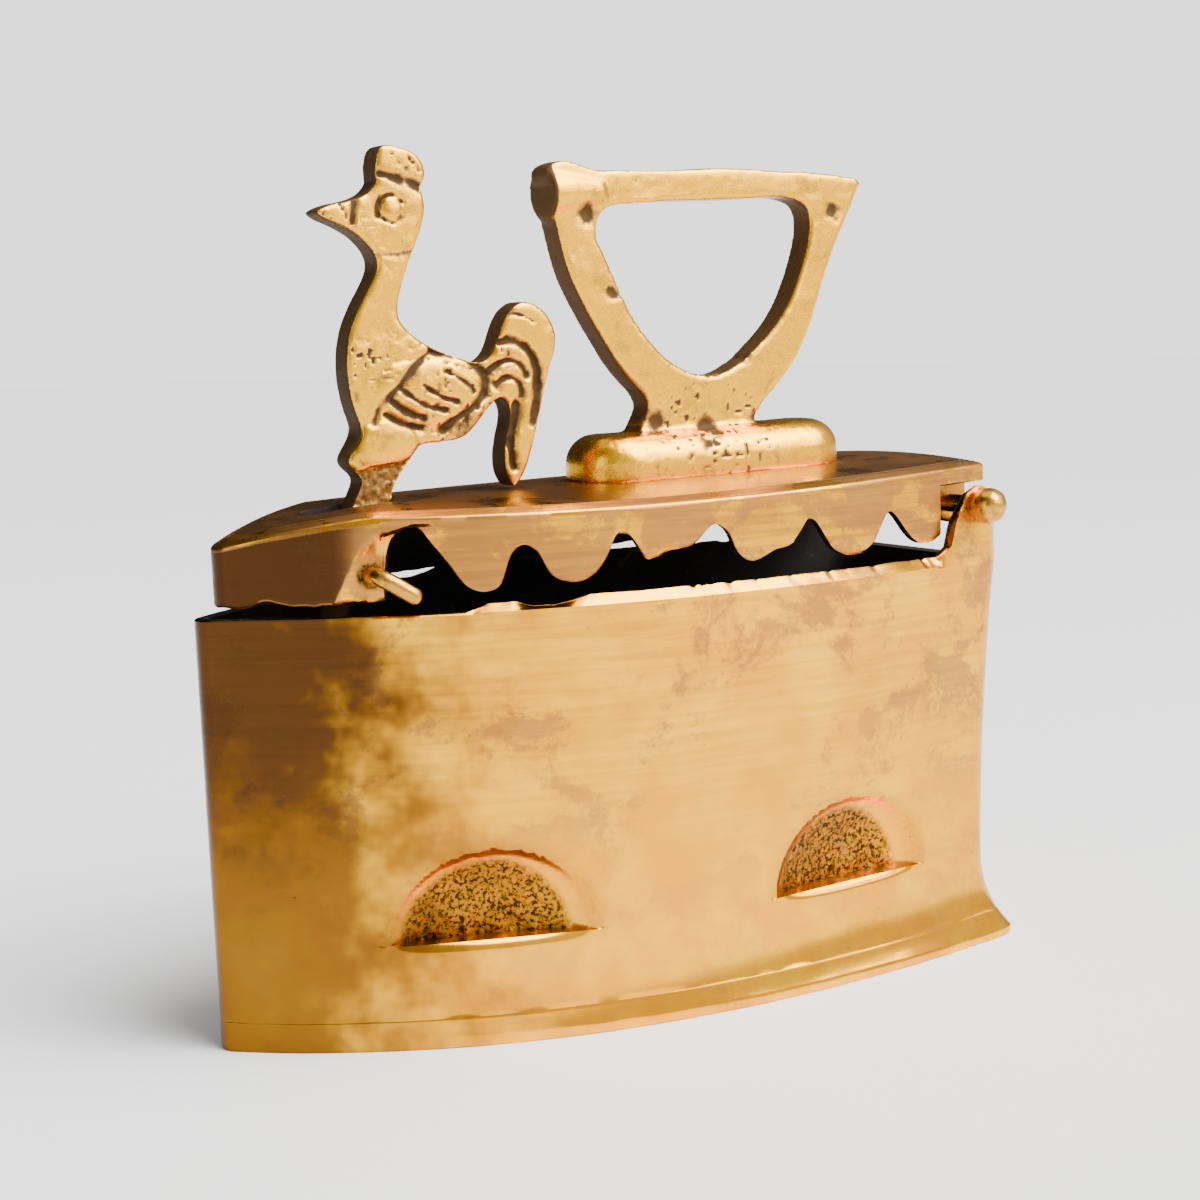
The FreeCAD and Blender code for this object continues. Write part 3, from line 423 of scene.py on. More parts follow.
def press_pockets(points, low, half_w, height, depth, rough, dent):
    """Pushes the points in at the four dimples, and a little under their lips, and returns how
    dark each point is marked: the pockets' rough skin and a faint band round their edges."""
    dirt = np.zeros(points.shape[:2])
    above = points[..., 2] > low
    lip = np.clip(1.0 - (low - points[..., 2]) / LIP_DENT_H, 0.0, 1.0) * ~above
    for x in DIMPLE_XS:
        for side in (-1, 1):
            hollow, wall, inward, share = pocket_depth(points, x, side, low, half_w, height, depth)
            near = above & (share < 1.5) & (points[..., 1] * side > 0)
            soft = 0.5 * (hollow + wall + np.sqrt((hollow - wall) ** 2 + DIMPLE_SOFT))
            grain = ease(0.88, 0.66, share + 0.2 * ease(x, x + 20.0, points[..., 0])) * near
            push = np.where(near, soft - wall, 0.0) * ease(1.32, 0.96, share)
            push = push + rough * grain * layered_noise(points, 1.9, 41, 2)
            points[..., :2] += push[..., None] * inward
            # A faint darker band round each pocket's edge.
            rim = np.exp(-((share - 1.0) / 0.2) ** 2) * near * 0.3
            dirt = np.maximum(dirt, np.maximum(grain, rim))
            under = lip * (points[..., 1] * side > 0) * np.sqrt(np.clip(1.0 - share, 0.0, 1.0))
            points[..., :2] += (dent * under ** 2)[..., None] * inward
    return dirt


def outer_rows(shares, turns, across):
    """Outside of the wall from the sole to just under the rim: slightly wavy, with its dimples.
    Returns the rows and how dirty their points are."""
    low = np.array([7.0, 7.3, 8.4, 9.8, 11.4, 13, 15, 17, 19, 21, 22.4, 23.1, 23.7, 24.2, 24.46, 24.6])
    heights = np.concatenate([low, np.arange(25.4, 48, 1.0), np.arange(49, 100, 2.4), [100.3]])
    outer = box_loop(heights, 0.0, shares, turns)
    stretched = np.stack([outer[..., 0] * 2.2, outer[..., 1], outer[..., 2] * 0.55], -1)
    waves = 0.16 * noise(stretched, 19.0, 3)
    outer[1:] += across / WALL * waves[1:, :, None] * ease(100.3, 90, outer[1:, :, 2:])
    dirt = press_pockets(outer, DIMPLE_LIP_Z, DIMPLE_HALF_W, DIMPLE_H, DIMPLE_DEPTH, DIMPLE_ROUGH, LIP_DENT)
    return outer, dirt


def edge_height(edge):
    """Height of the edge above the rim at each point of the outline, and how far it is filed."""
    x = edge[:, 0]
    top = np.interp(x, EDGE_X, EDGE_Z)
    top = np.where((abs(edge[:, 1]) < EAR_INSIDE_Y) & (x > HINGE_X), RIM_Z, top)
    filed = ease(FILED_FROM[0], FILED_FROM[1], x) * ease(FILED_TO[1], FILED_TO[0], x)
    flat = np.stack([x, edge[:, 1], np.zeros_like(x)], -1)
    teeth = 0.9 * np.clip(noise(flat, 1.3, 7) - 0.25, 0, 1) + 0.14 * noise(flat, 7.0, 8)
    top = top - filed * ease(-30.0, -10.0, x) * np.clip(teeth, -0.15, 0.6)
    return top - 0.08 * filed * noise(flat, 3.0, 9), filed


def edge_rows(edge, across, top, filed):
    """Rows up the outside of the edge above the rim, and rows over its top."""
    bevel = PLAIN_BEVEL + (LIP_INSET - PLAIN_BEVEL) * filed
    bevel = np.where(edge[:, 0] > FILED_TO[1], EAR_BEVEL, bevel)
    foot = np.where(filed > 0.5, RIM_Z, RIM_Z - 0.35)
    rise = np.array([0.0, 0.15, 0.35, 0.6, 0.85, 1.0])[:, None]
    rim = edge + across * (rise * bevel / WALL)[..., None]
    rim[..., 2] = foot + (top - foot) * rise
    over = np.array([0.2, 0.75, 1.0])[:, None]
    inset = bevel + (WALL - bevel) * over
    lip = edge + across * (inset / WALL)[..., None]
    lip[..., 2] = top + np.array([0.12, 0.1, -0.35])[:, None]
    return rim, lip


def inner_rows(inner_edge, top, shares, turns):
    """Rows down the inside of the edge, and then down the inside of the wall."""
    down = np.array([0.7, 0.4, 0.1])[:, None]
    inner_top = np.broadcast_to(inner_edge, (3,) + inner_edge.shape).copy()
    inner_top[..., 2] = 99.8 + (top - 0.35 - 99.8) * down
    heights = np.concatenate([np.arange(99.0, 51.0, -4.0), np.arange(50.0, 20.0, -1.6), [18.0, 12.0, 7.0]])
    inner = box_loop(heights, WALL, shares, turns)
    press_pockets(inner, DIMPLE_LIP_Z - WALL, DIMPLE_HALF_W + WALL, DIMPLE_H + 1.5 * WALL,
                  DIMPLE_DEPTH + WALL, 0.0, 0.0)
    return inner_top, inner


def make_box_shell(brass, soot):
    """Wall carried round the box's outline: up its outside, over the filed rim, down its inside."""
    shares = curve_shares(np.arange(-105.7, 97.6, 0.75), RIM_Z, 0.0)
    turns = [78.3, 74, 70, 66, 62, 58, 54.5, 53.3, 52.7, 45, 36, 27, 18, 9, 3.2, 2.4, 0]
    edge, inner_edge = box_loop([RIM_Z, RIM_Z], [0.0, WALL], shares, turns)
    across = inner_edge - edge
    outer, dirt = outer_rows(shares, turns, across)
    top, filed = edge_height(edge)
    rim, lip = edge_rows(edge, across, top, filed)
    inner_top, inner = inner_rows(inner_edge, top, shares, turns)
    grid = np.concatenate([outer, rim, lip, inner_top, inner])
    row = np.arange(len(grid))
    from_dent = (grid[..., 0] - EAR_DENT_X) ** 2 + (grid[..., 2] - EAR_DENT_Z) ** 2
    outside = row < len(outer) + len(rim)
    ear_dent = np.exp(-from_dent / EAR_DENT_R ** 2) * outside[:, None]
    grid += across / WALL * (ear_dent * (0.9 + 0.4 * noise(grid, 1.2, 5)))[..., None]
    # The dent beside the hinge pin head is darkened as well.
    marks = ear_dent.copy()
    marks[:len(outer)] = np.maximum(dirt, ear_dent[:len(outer)])
    bands = row >= len(outer) + len(rim) + 1
    return surface("box_casting", grid, True, (brass, soot), bands, marks)


def make_sole(finish):
    """Flat sole, its edge upright and then drawn in to the wall above; each end closes in a pole."""
    xs = np.arange(-105.5, 101.0, 1.4)
    shares = curve_shares(np.clip(xs, None, WAIST_REAR_X), SOLE_T, 0.0)
    z = np.array([0.0, 0.0, 0.25, 0.9, 2.0, 2.8, 3.6, 4.5, 5.4, 6.2, 6.8, 7.0])
    inset = np.array([2.0, 0.35, 0.06, 0.0, 0.0, 0.0, 0.0, 0.0, 0.0, 0.0, 0.0, 0.04])
    turns = np.linspace(78.3, 0.0, 12)
    grid = box_loop(z, inset, shares, turns)
    grid[2:6, :, :2] *= (1.0 + 0.0022 * noise(grid[2:6], 7.0, 12))[..., None]
    below = [grid[0] * np.array([share, share, 1.0]) for share in (0.0, 0.5)]
    above = [grid[-1] * np.array([share, share, 1.0]) for share in (0.9, 0.0)]
    grid = np.concatenate([below, grid, above])
    return surface("sole_casting", grid, False, (finish,))


def lathe(name, profile, centre, axis, finish, lumps=0.0, steps=40):
    """Round piece: a profile of (along, radius) turned about an axis through centre."""
    profile = np.array(profile, float)
    axis = np.array(axis, float)
    side = np.cross(axis, [1.0, 0.0, 0.0] if abs(axis[0]) < 0.5 else [0.0, 0.0, 1.0])
    side = side / np.linalg.norm(side)
    other = np.cross(axis, side)
    turn = np.linspace(0.0, 2 * math.pi, steps, endpoint=False)
    ring = np.cos(turn)[:, None] * side + np.sin(turn)[:, None] * other
    radius = profile[:, 1, None] * np.ones(steps)
    grid = np.array(centre) + profile[:, 0, None, None] * axis + radius[..., None] * ring
    lump = lumps * layered_noise(grid, 2.6, 21, 2) * ease(0.0, 1.5, radius)
    grid = grid + lump[..., None] * ring
    return surface(name, grid, False, (finish,))


def make_hinge_pin(finish):
    """Pin with each end beaten out to a round head against the ear."""
    ear = abs(side_point(HINGE_X, HINGE_Z)[0][1])
    seat = ear - 0.3
    ball = ear + HEAD_LENGTH - HEAD_R
    turn = np.linspace(math.asin((seat - ball) / HEAD_R), math.pi / 2, 16)
    head = [(ball + HEAD_R * math.sin(t), HEAD_R * math.cos(t) ** 0.92) for t in turn[:-1]]
    right = [(0.0, HINGE_PIN_R), (20.0, HINGE_PIN_R), (seat, HINGE_PIN_R)] + head + [(ball + HEAD_R, 0.0)]
    left = [(-y, r) for y, r in reversed(right[1:])]
    return lathe("hinge_pin_beaten", left + right, (HINGE_X, 0.0, HINGE_Z), (0, 1, 0), finish, 0.22, 48)


def make_lugs(soot):
    """Low round lugs inside the wall's foot, which the sole's rivets go through."""
    profile = [(0.0, 0.0), (0.0, 5.2), (4.3, 4.9), (5.0, 4.3), (5.0, 0.0)]
    pieces = []
    for number, x in enumerate(LUG_XS, 1):
        start, inward = side_point(x, SOLE_T)
        for side, where in ((-1, "near"), (1, "far")):
            centre = (start + inward * LUG_INSET) * np.array([1.0, -side])
            pieces.append(lathe(f"sole_lug_{number}_{where}", profile, (*centre, SOLE_T), (0, 0, 1), soot))
    return pieces


# ------------------------------------------------------------------ lid pieces
def crown_height(x, y):
    """Top of the lid: a wide arch across, and a tighter droop towards the nose."""
    across = CROWN_Z - CROWN_R + np.sqrt(CROWN_R ** 2 - y ** 2)
    along = CROWN_Z - DROOP_R + np.sqrt(DROOP_R ** 2 - np.minimum(x - DROOP_X, 0.0) ** 2)
    return np.minimum(across, along)


def skirt_foot(x, points):
    """Height of the skirt's foot: ragged at the nose, wavy along the side, high behind the ears."""
    line = smooth_line(points)
    wavy = np.interp(x, np.maximum.accumulate(line[:, 0]), line[:, 1])
    flat = np.stack([x, np.zeros_like(x), np.zeros_like(x)], -1)
    ragged = SKIRT_Z + 0.35 * noise(flat, 1.4, 31) + 1.3 * np.exp(-((x + 94.0) / 3.4) ** 2)
    foot = np.where(x < SKIRT_FOOT[0][0], ragged + 0.2, wavy + 0.12 * noise(flat, 1.6, 32))
    return np.where(x > EAR_NOTCH_X, REAR_FOOT_Z, foot)


def latch_recess(points):
    """Depth of the hollow beside the latch pin's arch: from a ridge it slopes in to the arch."""
    x, z = points[..., 0], points[..., 2]
    ridge, arch = np.interp(z, *RECESS_RIDGE), np.interp(z, *RECESS_ARCH)
    share = np.clip((x - ridge) / (arch - ridge), 0.0, 1.0) * ease(124.8, 123.6, z)
    share = share * ease(-60.0, -66.0, x) * (points[..., 1] < 0)
    angle = np.degrees(np.arctan2(z - RECESS_FAN[1], x - RECESS_FAN[0]))
    ribs = np.stack([angle / 5.0, np.zeros_like(x), np.zeros_like(x)], -1)
    return share ** 0.85 * (RECESS_DEPTH + 0.35 * noise(ribs, 1.0, 33)) * ease(0.0, 0.1, share)


def slot_loop(loop):
    """Points of the cockerel's slot seen from its middle in the directions of the lid's outline."""
    middle = np.array([sum(SLOT_X) / 2, 0.0])
    half = np.array([(SLOT_X[1] - SLOT_X[0]) / 2, SLOT_W / 2])
    way = loop - middle
    reach = np.min(half / np.maximum(abs(way), 1e-9), axis=-1)
    return middle + way * reach[:, None]


def placed(flat, height):
    return np.concatenate([flat, height[..., None]], -1)


def top_of(flat):
    return crown_height(flat[..., 0], flat[..., 1])


def lid_shares():
    """Shares of the side's curve at the lid's columns, closest at the latch and at the back."""
    xs = [np.arange(-103.0, -84.0, 0.7), np.arange(-84.0, -60.0, 0.35), np.arange(-60.0, 82.0, 0.6)]
    rear = [82.15, 82.25, 83.5, 86.0, 89.0, 92.0, 95.0, 98.0, 99.1, 99.6, 100.0, 100.3, 100.5, 100.62]
    shares = curve_shares(np.concatenate(xs + [rear]), RIM_Z, LID_INSET, LID_NOSE_R, LID_STRETCH)
    return np.concatenate([[0.0], shares])


def lid_top_rows(slot, shares):
    """From the cockerel's slot out over the crown, and then over the grooved chamfer."""
    chamfer = lid_loop([inset for inset, _ in CHAMFER], shares)
    drops = np.array([drop for _, drop in CHAMFER])[:, None]
    out = np.array([0.012, 0.04, 0.1, 0.2, 0.32, 0.45, 0.6, 0.75, 0.9])[:, None, None]
    crown = slot + (chamfer[0] - slot) * out
    crown_z = top_of(crown) + 0.12 * noise(placed(crown, np.zeros(crown.shape[:2])), 24.0, 35)
    crown_z[0] -= 0.05
    return placed(crown, crown_z), placed(chamfer, top_of(chamfer) - drops)


def lid_side_rows(outline, inside, inward):
    """Down the skirt, under its wavy foot, and up its inside to the ceiling."""
    far, near = skirt_foot(outline[:, 0], FAR_FOOT), skirt_foot(outline[:, 0], SKIRT_FOOT)
    foot = np.where(outline[:, 1] > 0, far, near)
    edge_z = top_of(outline) - CHAMFER[-1][1]
    down = np.concatenate([np.linspace(0.06, 0.94, 17), [0.985]])[:, None]
    skirt = placed(np.broadcast_to(outline, (len(down),) + outline.shape),
                   edge_z + (foot + FOOT_ROUND - edge_z) * down)
    base = [(0.28, 0.0), (SKIRT_T - FOOT_ROUND, 0.0), (SKIRT_T, FOOT_ROUND)]
    under = np.stack([placed(outline + inward * inset, foot + lift) for inset, lift in base])
    ceiling = top_of(inside) - PLATE_T
    up = np.array([0.25, 0.5, 0.75, 1.0])[:, None]
    inner = placed(np.broadcast_to(inside, (4,) + inside.shape),
                   foot + FOOT_ROUND + (ceiling - foot - FOOT_ROUND) * up)
    for rows in (skirt, under, inner):
        rows[..., :2] += inward * latch_recess(rows)[..., None]
    return skirt, under, inner


def lid_dirt_and_nose_shade(grid, first, side):
    """Dirt in the chamfer's groove lines and round the latch pin, brown on top, and a painted
    dark reflection at the nose; first is the chamfer's first row and side the skirt's rows."""
    marks, toning = np.zeros(grid.shape[:2]), np.zeros(grid.shape[:2])
    marks[[first + 1, first + 4]] = 0.8
    toning[:first] = 0.55
    toning[first:side.start] = np.linspace(0.7, 0.1, side.start - first)[:, None]
    x, z = grid[side][..., 0], grid[side][..., 2]
    recess = latch_recess(grid[side]) / RECESS_DEPTH
    # Painted dark reflection: the skirt is toned a little, and strongly towards the nose, but not in the
    # latch recess.
    toning[side] = (0.2 + 0.75 * ease(-68.0, -82.0, x)) * ease(0.12, 0.0, recess)
    marks[side] = ease(3.6, 2.6, np.hypot(x - LATCH_X, z - LATCH_Z))
    return marks, toning


def make_lid(brass, soot):
    """One closed ring of rows round the outline: from the cockerel's slot out over the crown, over
    the grooved chamfer, down the skirt to its wavy foot, and back up inside to the slot."""
    shares = lid_shares()
    outline, inside = lid_loop([0.0, SKIRT_T], shares)
    inward = (inside - outline) / np.linalg.norm(inside - outline, axis=-1, keepdims=True)
    slot = slot_loop(outline)
    crown, chamfer = lid_top_rows(slot, shares)
    skirt, under, inner = lid_side_rows(outline, inside, inward)
    back = np.array([0.85, 0.6, 0.3, 0.1, 0.0])[:, None, None]
    roof = slot + (inside - slot) * back
    roof = placed(roof, top_of(roof) - PLATE_T)
    cut = placed(slot, top_of(slot) - 0.5)
    grid = np.concatenate([crown, chamfer, skirt, under, inner, roof, cut[None]])
    start = len(crown) + len(chamfer)
    side = slice(start, start + len(skirt))
    ripple = 0.1 * noise(grid * np.array([1.0, 1.0, 0.6]), 13.0, 36)
    grid[side, :, :2] += inward * ripple[side, :, None]
    marks, toning = lid_dirt_and_nose_shade(grid, len(crown), side)
    bands = np.arange(len(grid)) >= side.stop + 1
    return surface("lid_casting", seated(grid), True, (brass, soot), bands, marks, toning, 30.0)


def make_knuckle(name, side, finish):
    """Barrel round the hinge pin with a web up to the lid: its side view carried along Y."""
    turn = np.linspace(math.pi, 2 * math.pi, 25)
    barrel = np.stack([KNUCKLE_R * np.cos(turn), KNUCKLE_R * np.sin(turn)], -1)
    barrel[:, 0] = np.minimum(barrel[:, 0], LID_REAR_X - HINGE_X)
    right = np.stack([np.full(5, barrel[-1, 0]), np.linspace(2.5, WEB_TOP, 5)], -1)
    left = np.stack([np.full(5, -KNUCKLE_R), np.linspace(WEB_TOP, 2.5, 5)], -1)
    loop = np.concatenate([barrel, right, left])
    along = np.array([0.0, 0.0, 0.35, 1.0, 3.5, 5.5, 7.5, 10.0, 10.65, 11.0, 11.0])
    shrink = np.array([0.0, 0.93, 0.985, 1.0, 1.0, 1.0, 1.0, 1.0, 0.985, 0.93, 0.0])
    flat = loop[None] * shrink[:, None, None]
    y = np.broadcast_to((KNUCKLE_Y[0] + along)[:, None] * side, flat.shape[:2])
    grid = np.stack([HINGE_X + flat[..., 0], y, HINGE_Z + flat[..., 1]], -1)
    return surface(name, seated(grid), False, (finish,))


def make_latch_pin(finish):
    """Rod across the lid's nose: straight, then bent back and down, with a round end; its far end
    is upset to a low head. A circle is carried along the line of its middle."""
    outside = abs(side_point(LATCH_X, RIM_Z)[0][1]) - LID_INSET
    tail = np.array([0.80, -0.25, -0.55])
    tail = tail / np.linalg.norm(tail)
    ahead = np.array([0.0, -1.0, 0.0])
    turn = math.acos(tail @ ahead)
    bend_r = 3.6
    across = np.cross(ahead, tail)
    across = across / np.linalg.norm(across)
    towards = np.cross(across, ahead)
    bend_start = np.array([LATCH_X, -outside - 1.6, LATCH_Z])
    far = np.array([0.0, 0.0, 0.35, 1.5, 1.9, 2.0, 14.0, 28.0, 42.0])
    far_r = np.array([0.0, 0.88, 1.0, 1.0, 0.85, 0.61, 0.61, 0.61, 0.61]) * 3.35
    straight = np.array([LATCH_X, outside + 1.9, LATCH_Z]) + far[:, None] * ahead
    angle = np.linspace(0.0, turn, 14)[:, None]
    bend = bend_start + bend_r * (np.sin(angle) * ahead + (1 - np.cos(angle)) * towards)
    bend_ahead = np.cos(angle) * ahead + np.sin(angle) * towards
    run = np.array([2.0, 4.0, 5.2, 5.9, 6.5, 7.0, 7.4, 7.6, 7.6])
    run_r = np.array([1.0, 1.0, 1.0, 0.96, 0.86, 0.7, 0.45, 0.2, 0.0]) * LATCH_PIN_R
    end = bend[-1] + run[:, None] * tail
    middle = np.concatenate([straight, bend, end])
    direction = np.concatenate([np.tile(ahead, (len(far), 1)), bend_ahead, np.tile(tail, (len(run), 1))])
    radius = np.concatenate([far_r, np.full(len(bend), LATCH_PIN_R), run_r])
    normal = np.cross(across, direction)
    spin = np.linspace(0.0, 2 * math.pi, 28, endpoint=False)
    ring = np.cos(spin)[:, None] * across + np.sin(spin)[:, None] * normal[:, None]
    grid = middle[:, None] + radius[:, None, None] * ring
    grid += ring * (0.08 * noise(grid, 2.4, 51) * ease(0.0, 1.5, radius)[:, None])[..., None]
    return surface("latch_pin_bent", seated(grid), False, (finish,))


# ------------------------------------------------------------------ castings with relief
def swelling(level, centre, half, lean=0.0):
    """Half of an ellipsoid seen from the side: 1 at its middle, 0 from its edge outwards."""
    x, z = level[:, 0] - centre[0], level[:, 2] - centre[1]
    along = x * math.cos(lean) + z * math.sin(lean)
    up = z * math.cos(lean) - x * math.sin(lean)
    return np.sqrt(np.clip(1.0 - (along / half[0]) ** 2 - (up / half[1]) ** 2, 0.0, 1.0))


def cut_lines(level):
    """Depth and dirt of the cuts, which wander, widen and fade along their lines."""
    depth, dirt = np.zeros(len(level)), np.zeros(len(level))
    for line, width, deep in CUTS.values():
        wander = 0.3 * noise(level, 1.7, 61)
        spread = width * (1.0 + 0.45 * noise(level, 4.0, 68))
        away = line_distance(level[:, 0], level[:, 2], smooth_line(line, 8)) + wander
        cut = np.exp(-(away / spread) ** 2) * np.clip(0.95 + 0.5 * noise(level, 3.0, 69), 0.0, 1.0)
        depth += deep * cut
        dirt = np.maximum(dirt, cut * min(1.0, 0.25 + deep))
    return depth, dirt


def eye_relief(level):
    """Depth and dirt of a broken ring cut round a raised pupil."""
    ring = abs(np.hypot(level[:, 0] - EYE[0], (level[:, 2] - EYE[1]) * 0.95) - EYE_R)
    cut = np.exp(-(ring / 0.5) ** 2) * ease(-0.45, 0.45, noise(level, 1.4, 62))
    return 0.75 * cut - 0.55 * swelling(level, EYE, (PUPIL_R, PUPIL_R)), 0.9 * cut


def body_relief(level, shown):
    """Depth of the raised wing and thigh and the sunken leg, and where the metal is left rough."""
    x, z = level[:, 0], level[:, 2]
    wing = WING_RISE * swelling(level, WING, WING_HALF, WING_LEAN)
    thigh = THIGH_RISE * swelling(level, THIGH, THIGH_HALF) * ease(136.0, 137.2, z)
    leg = ease(137.4, 136.0, z - 0.15 * (x + 60.0)) * ease(-50.0, -53.0, x) * shown
    belly = np.exp(-((x - BELLY[0]) ** 2 + (z - BELLY[1]) ** 2) / BELLY_R ** 2)
    return leg - wing - thigh, np.clip(leg + belly, 0.0, 1.0)


def cast_flaws(level, rough):
    """Depth of the rough skin, of broad unevenness and of pits, and the dirt that they hold."""
    depth = rough * 0.35 * layered_noise(level, 1.1, 63, 2) + 0.25 * noise(level, 6.0, 67)
    pits = ease(0.42, 0.68, noise(level, 0.95, 64)) * ease(-0.5, 0.5, noise(level, 9.0, 65))
    return depth + 0.4 * pits, np.maximum(0.75 * pits, 0.45 * rough)


def make_cockerel(finish):
    """Flat casting with its relief worked into both faces: cut lines, eye ring, wing, thigh, leg."""
    piece = cast_copy("cockerel", "cockerel_casting", 0.42, 14, finish)
    points, outward = mesh_arrays(piece)
    level = drawn(points)
    face = ease(0.35, 0.8, abs(outward[:, 1]))
    shown = ease(125.0, 128.0, level[:, 2])
    cuts, cut_dirt = cut_lines(level)
    eye, eye_dirt = eye_relief(level)
    body, rough = body_relief(level, shown)
    flaws, flaw_dirt = cast_flaws(level, rough)
    dirt = np.maximum.reduce([cut_dirt, eye_dirt, flaw_dirt]) * face
    # Painted shade: the casting's edges that turn towards the nose side are darkened, standing in for dark
    # surroundings reflected in them.
    edge = ease(0.62, 0.25, abs(outward[:, 1])) * ease(0.25, -0.35, outward[:, 0])
    dirt = np.maximum(dirt, edge * np.clip(0.85 + 0.35 * noise(level, 2.6, 70), 0.4, 1.0))
    points[:, 1] -= np.sign(level[:, 1]) * (cuts + eye + body + flaws) * face * shown
    points += outward * (0.28 + 0.09 * noise(points, 2.2, 66) * shown)[:, None]
    tip = points[level[:, 0].argmin()]
    worn = np.clip(1.0 - np.linalg.norm(points - tip, axis=1) / BEAK_WORN_R, 0.0, 1.0)
    points[:, 0] += BEAK_WORN_BACK * worn ** 1.5
    points[:, 2] += BEAK_WORN_UP * worn
    set_points(piece, points)
    add_marks(piece.data, "dirt_and_shade", np.maximum(dirt, 1.0 - shown))
    return piece


def make_handle(finish):
    """Loop handle on its loaf shaped foot: rounded, with pits where the metal cooled last."""
    piece = cast_copy("handle", "handle_casting", 0.62, 7, finish)
    points, outward = mesh_arrays(piece)
    level = drawn(points)
    x, z = level[:, 0], level[:, 2]
    depth = np.zeros(len(x))
    for spot_x, spot_z, size, deep in HANDLE_SPOTS:
        far = np.hypot(x - spot_x, z - spot_z) + 1.3 * noise(level, 1.7, 71)
        depth += deep * np.exp(-(far / size) ** 2)
    dirt = np.clip(1.2 * depth, 0.0, 0.95)
    root = ease(16.0, 6.0, np.hypot((x - 31.0) * 0.7, z - 140.5))
    pits = ease(0.34, 0.68, noise(level, 1.15, 72))
    pits = pits * np.clip(root + 0.35 * ease(-0.2, 0.5, noise(level, 11.0, 73)), 0, 1)
    depth += 0.45 * pits
    bar = ease(196.0, 198.0, z) * ease(2.0, 8.0, x)
    # Painted shade: faces above the foot that turn towards the nose, and the bar's end there, are darkened,
    # standing in for dark surroundings reflected in them.
    inner = ease(0.3, -0.4, outward[:, 0]) * ease(0.6, 0.2, abs(outward[:, 1])) * ease(139.0, 143.0, z)
    shaded_end_face = ease(-10.8, -11.6, x) * ease(192.0, 194.0, z)
    dirt = np.maximum.reduce([dirt, 0.8 * pits, 0.72 * inner, 0.9 * shaded_end_face])
    points += outward * (0.12 - depth + 0.16 * noise(points, 8.0, 74) + 0.05 * noise(points, 2.0, 75)
                         + 0.35 * bar * noise(points, 17.0, 76))[:, None]
    set_points(piece, points)
    add_marks(piece.data, "dirt_and_shade", dirt)
    return piece


# ------------------------------------------------------------------ shader building
def feed(tree, socket, value):
    """Gives a shader input a number, a colour or another node's output."""
    if isinstance(value, bpy.types.NodeSocket):
        tree.links.new(value, socket)
    else:
        socket.default_value = value


def put(tree, kind, values=None, **settings):
    """Adds a shader node, with its settings and the values of its inputs."""
    node = tree.nodes.new("ShaderNode" + kind)
    for key, value in settings.items():
        setattr(node, key, value)
    for socket, value in (values or {}).items():
        feed(tree, node.inputs[socket], value)
    return node


def maths(tree, operation, a, b):
    return put(tree, "Math", {0: a, 1: b}, operation=operation).outputs[0]


def times(tree, a, b):
    return maths(tree, "MULTIPLY", a, b)


def plus(tree, a, b):
    return maths(tree, "ADD", a, b)


def minus(tree, a, b):
    return maths(tree, "SUBTRACT", a, b)


def larger(tree, a, b):
    return maths(tree, "MAXIMUM", a, b)


def step_up(tree, value, low, high):
    """0 below low, 1 above high, smooth between."""
    values = {"Value": value, "From Min": low, "From Max": high}
    return put(tree, "MapRange", values, interpolation_type="SMOOTHSTEP").outputs["Result"]


def colour_mix(tree, share, a, b):
    node = put(tree, "Mix", {0: share}, data_type="RGBA")
    for socket, value in ((node.inputs[6], a), (node.inputs[7], b)):
        feed(tree, socket, value + (1.0,) if isinstance(value, tuple) else value)
    return node.outputs[2]


def coordinates(tree, stretch=(1.0, 1.0, 1.0)):
    """Object coordinates in millimetres, stretched."""
    place = put(tree, "TexCoord").outputs["Object"]
    scale = tuple(s / MM for s in stretch)
    return put(tree, "Mapping", {"Vector": place, "Scale": scale}).outputs[0]


def noise_node(tree, vector, size, detail=3.0, roughness=0.55, distortion=0.0):
    """Noise with features of that size in millimetres."""
    linked = isinstance(size, bpy.types.NodeSocket)
    values = {"Vector": vector, "Detail": detail, "Roughness": roughness, "Distortion": distortion,
              "Scale": maths(tree, "DIVIDE", 1.0, size) if linked else 1.0 / size}
    return put(tree, "TexNoise", values).outputs["Fac"]


def painted(tree, name):
    """The marks of that name on the piece's points: dirt with painted shade, or toning."""
    return put(tree, "Attribute", attribute_name=name).outputs["Fac"]


def new_group(name, inputs, outputs):
    """Empty node group with its number inputs and their values, and its number outputs."""
    group = bpy.data.node_groups.new(name, "ShaderNodeTree")
    for label, value in inputs.items():
        socket = group.interface.new_socket(label, in_out="INPUT", socket_type="NodeSocketFloat")
        socket.default_value = value
    for label in outputs:
        group.interface.new_socket(label, in_out="OUTPUT", socket_type="NodeSocketFloat")
    return group, group.nodes.new("NodeGroupInput").outputs, group.nodes.new("NodeGroupOutput").inputs


def tarnish_group():
    """Cloudy patches with ragged edges: broad noise, its edge broken by fine noise."""
    values = {"Size": 30.0, "Cover": 0.5, "Edge": 0.12}
    group, given, result = new_group("tarnish patches", values, ["Mask"])
    broad = noise_node(group, coordinates(group, (1.0, 1.0, 1.35)), given["Size"], 5.0, 0.62, 0.6)
    fine = noise_node(group, coordinates(group), 1.6, 4.0, 0.7)
    field = plus(group, broad, times(group, minus(group, fine, 0.5), 0.22))
    low = minus(group, 1.0, given["Cover"])
    group.links.new(step_up(group, field, low, plus(group, low, given["Edge"])), result["Mask"])
    return group


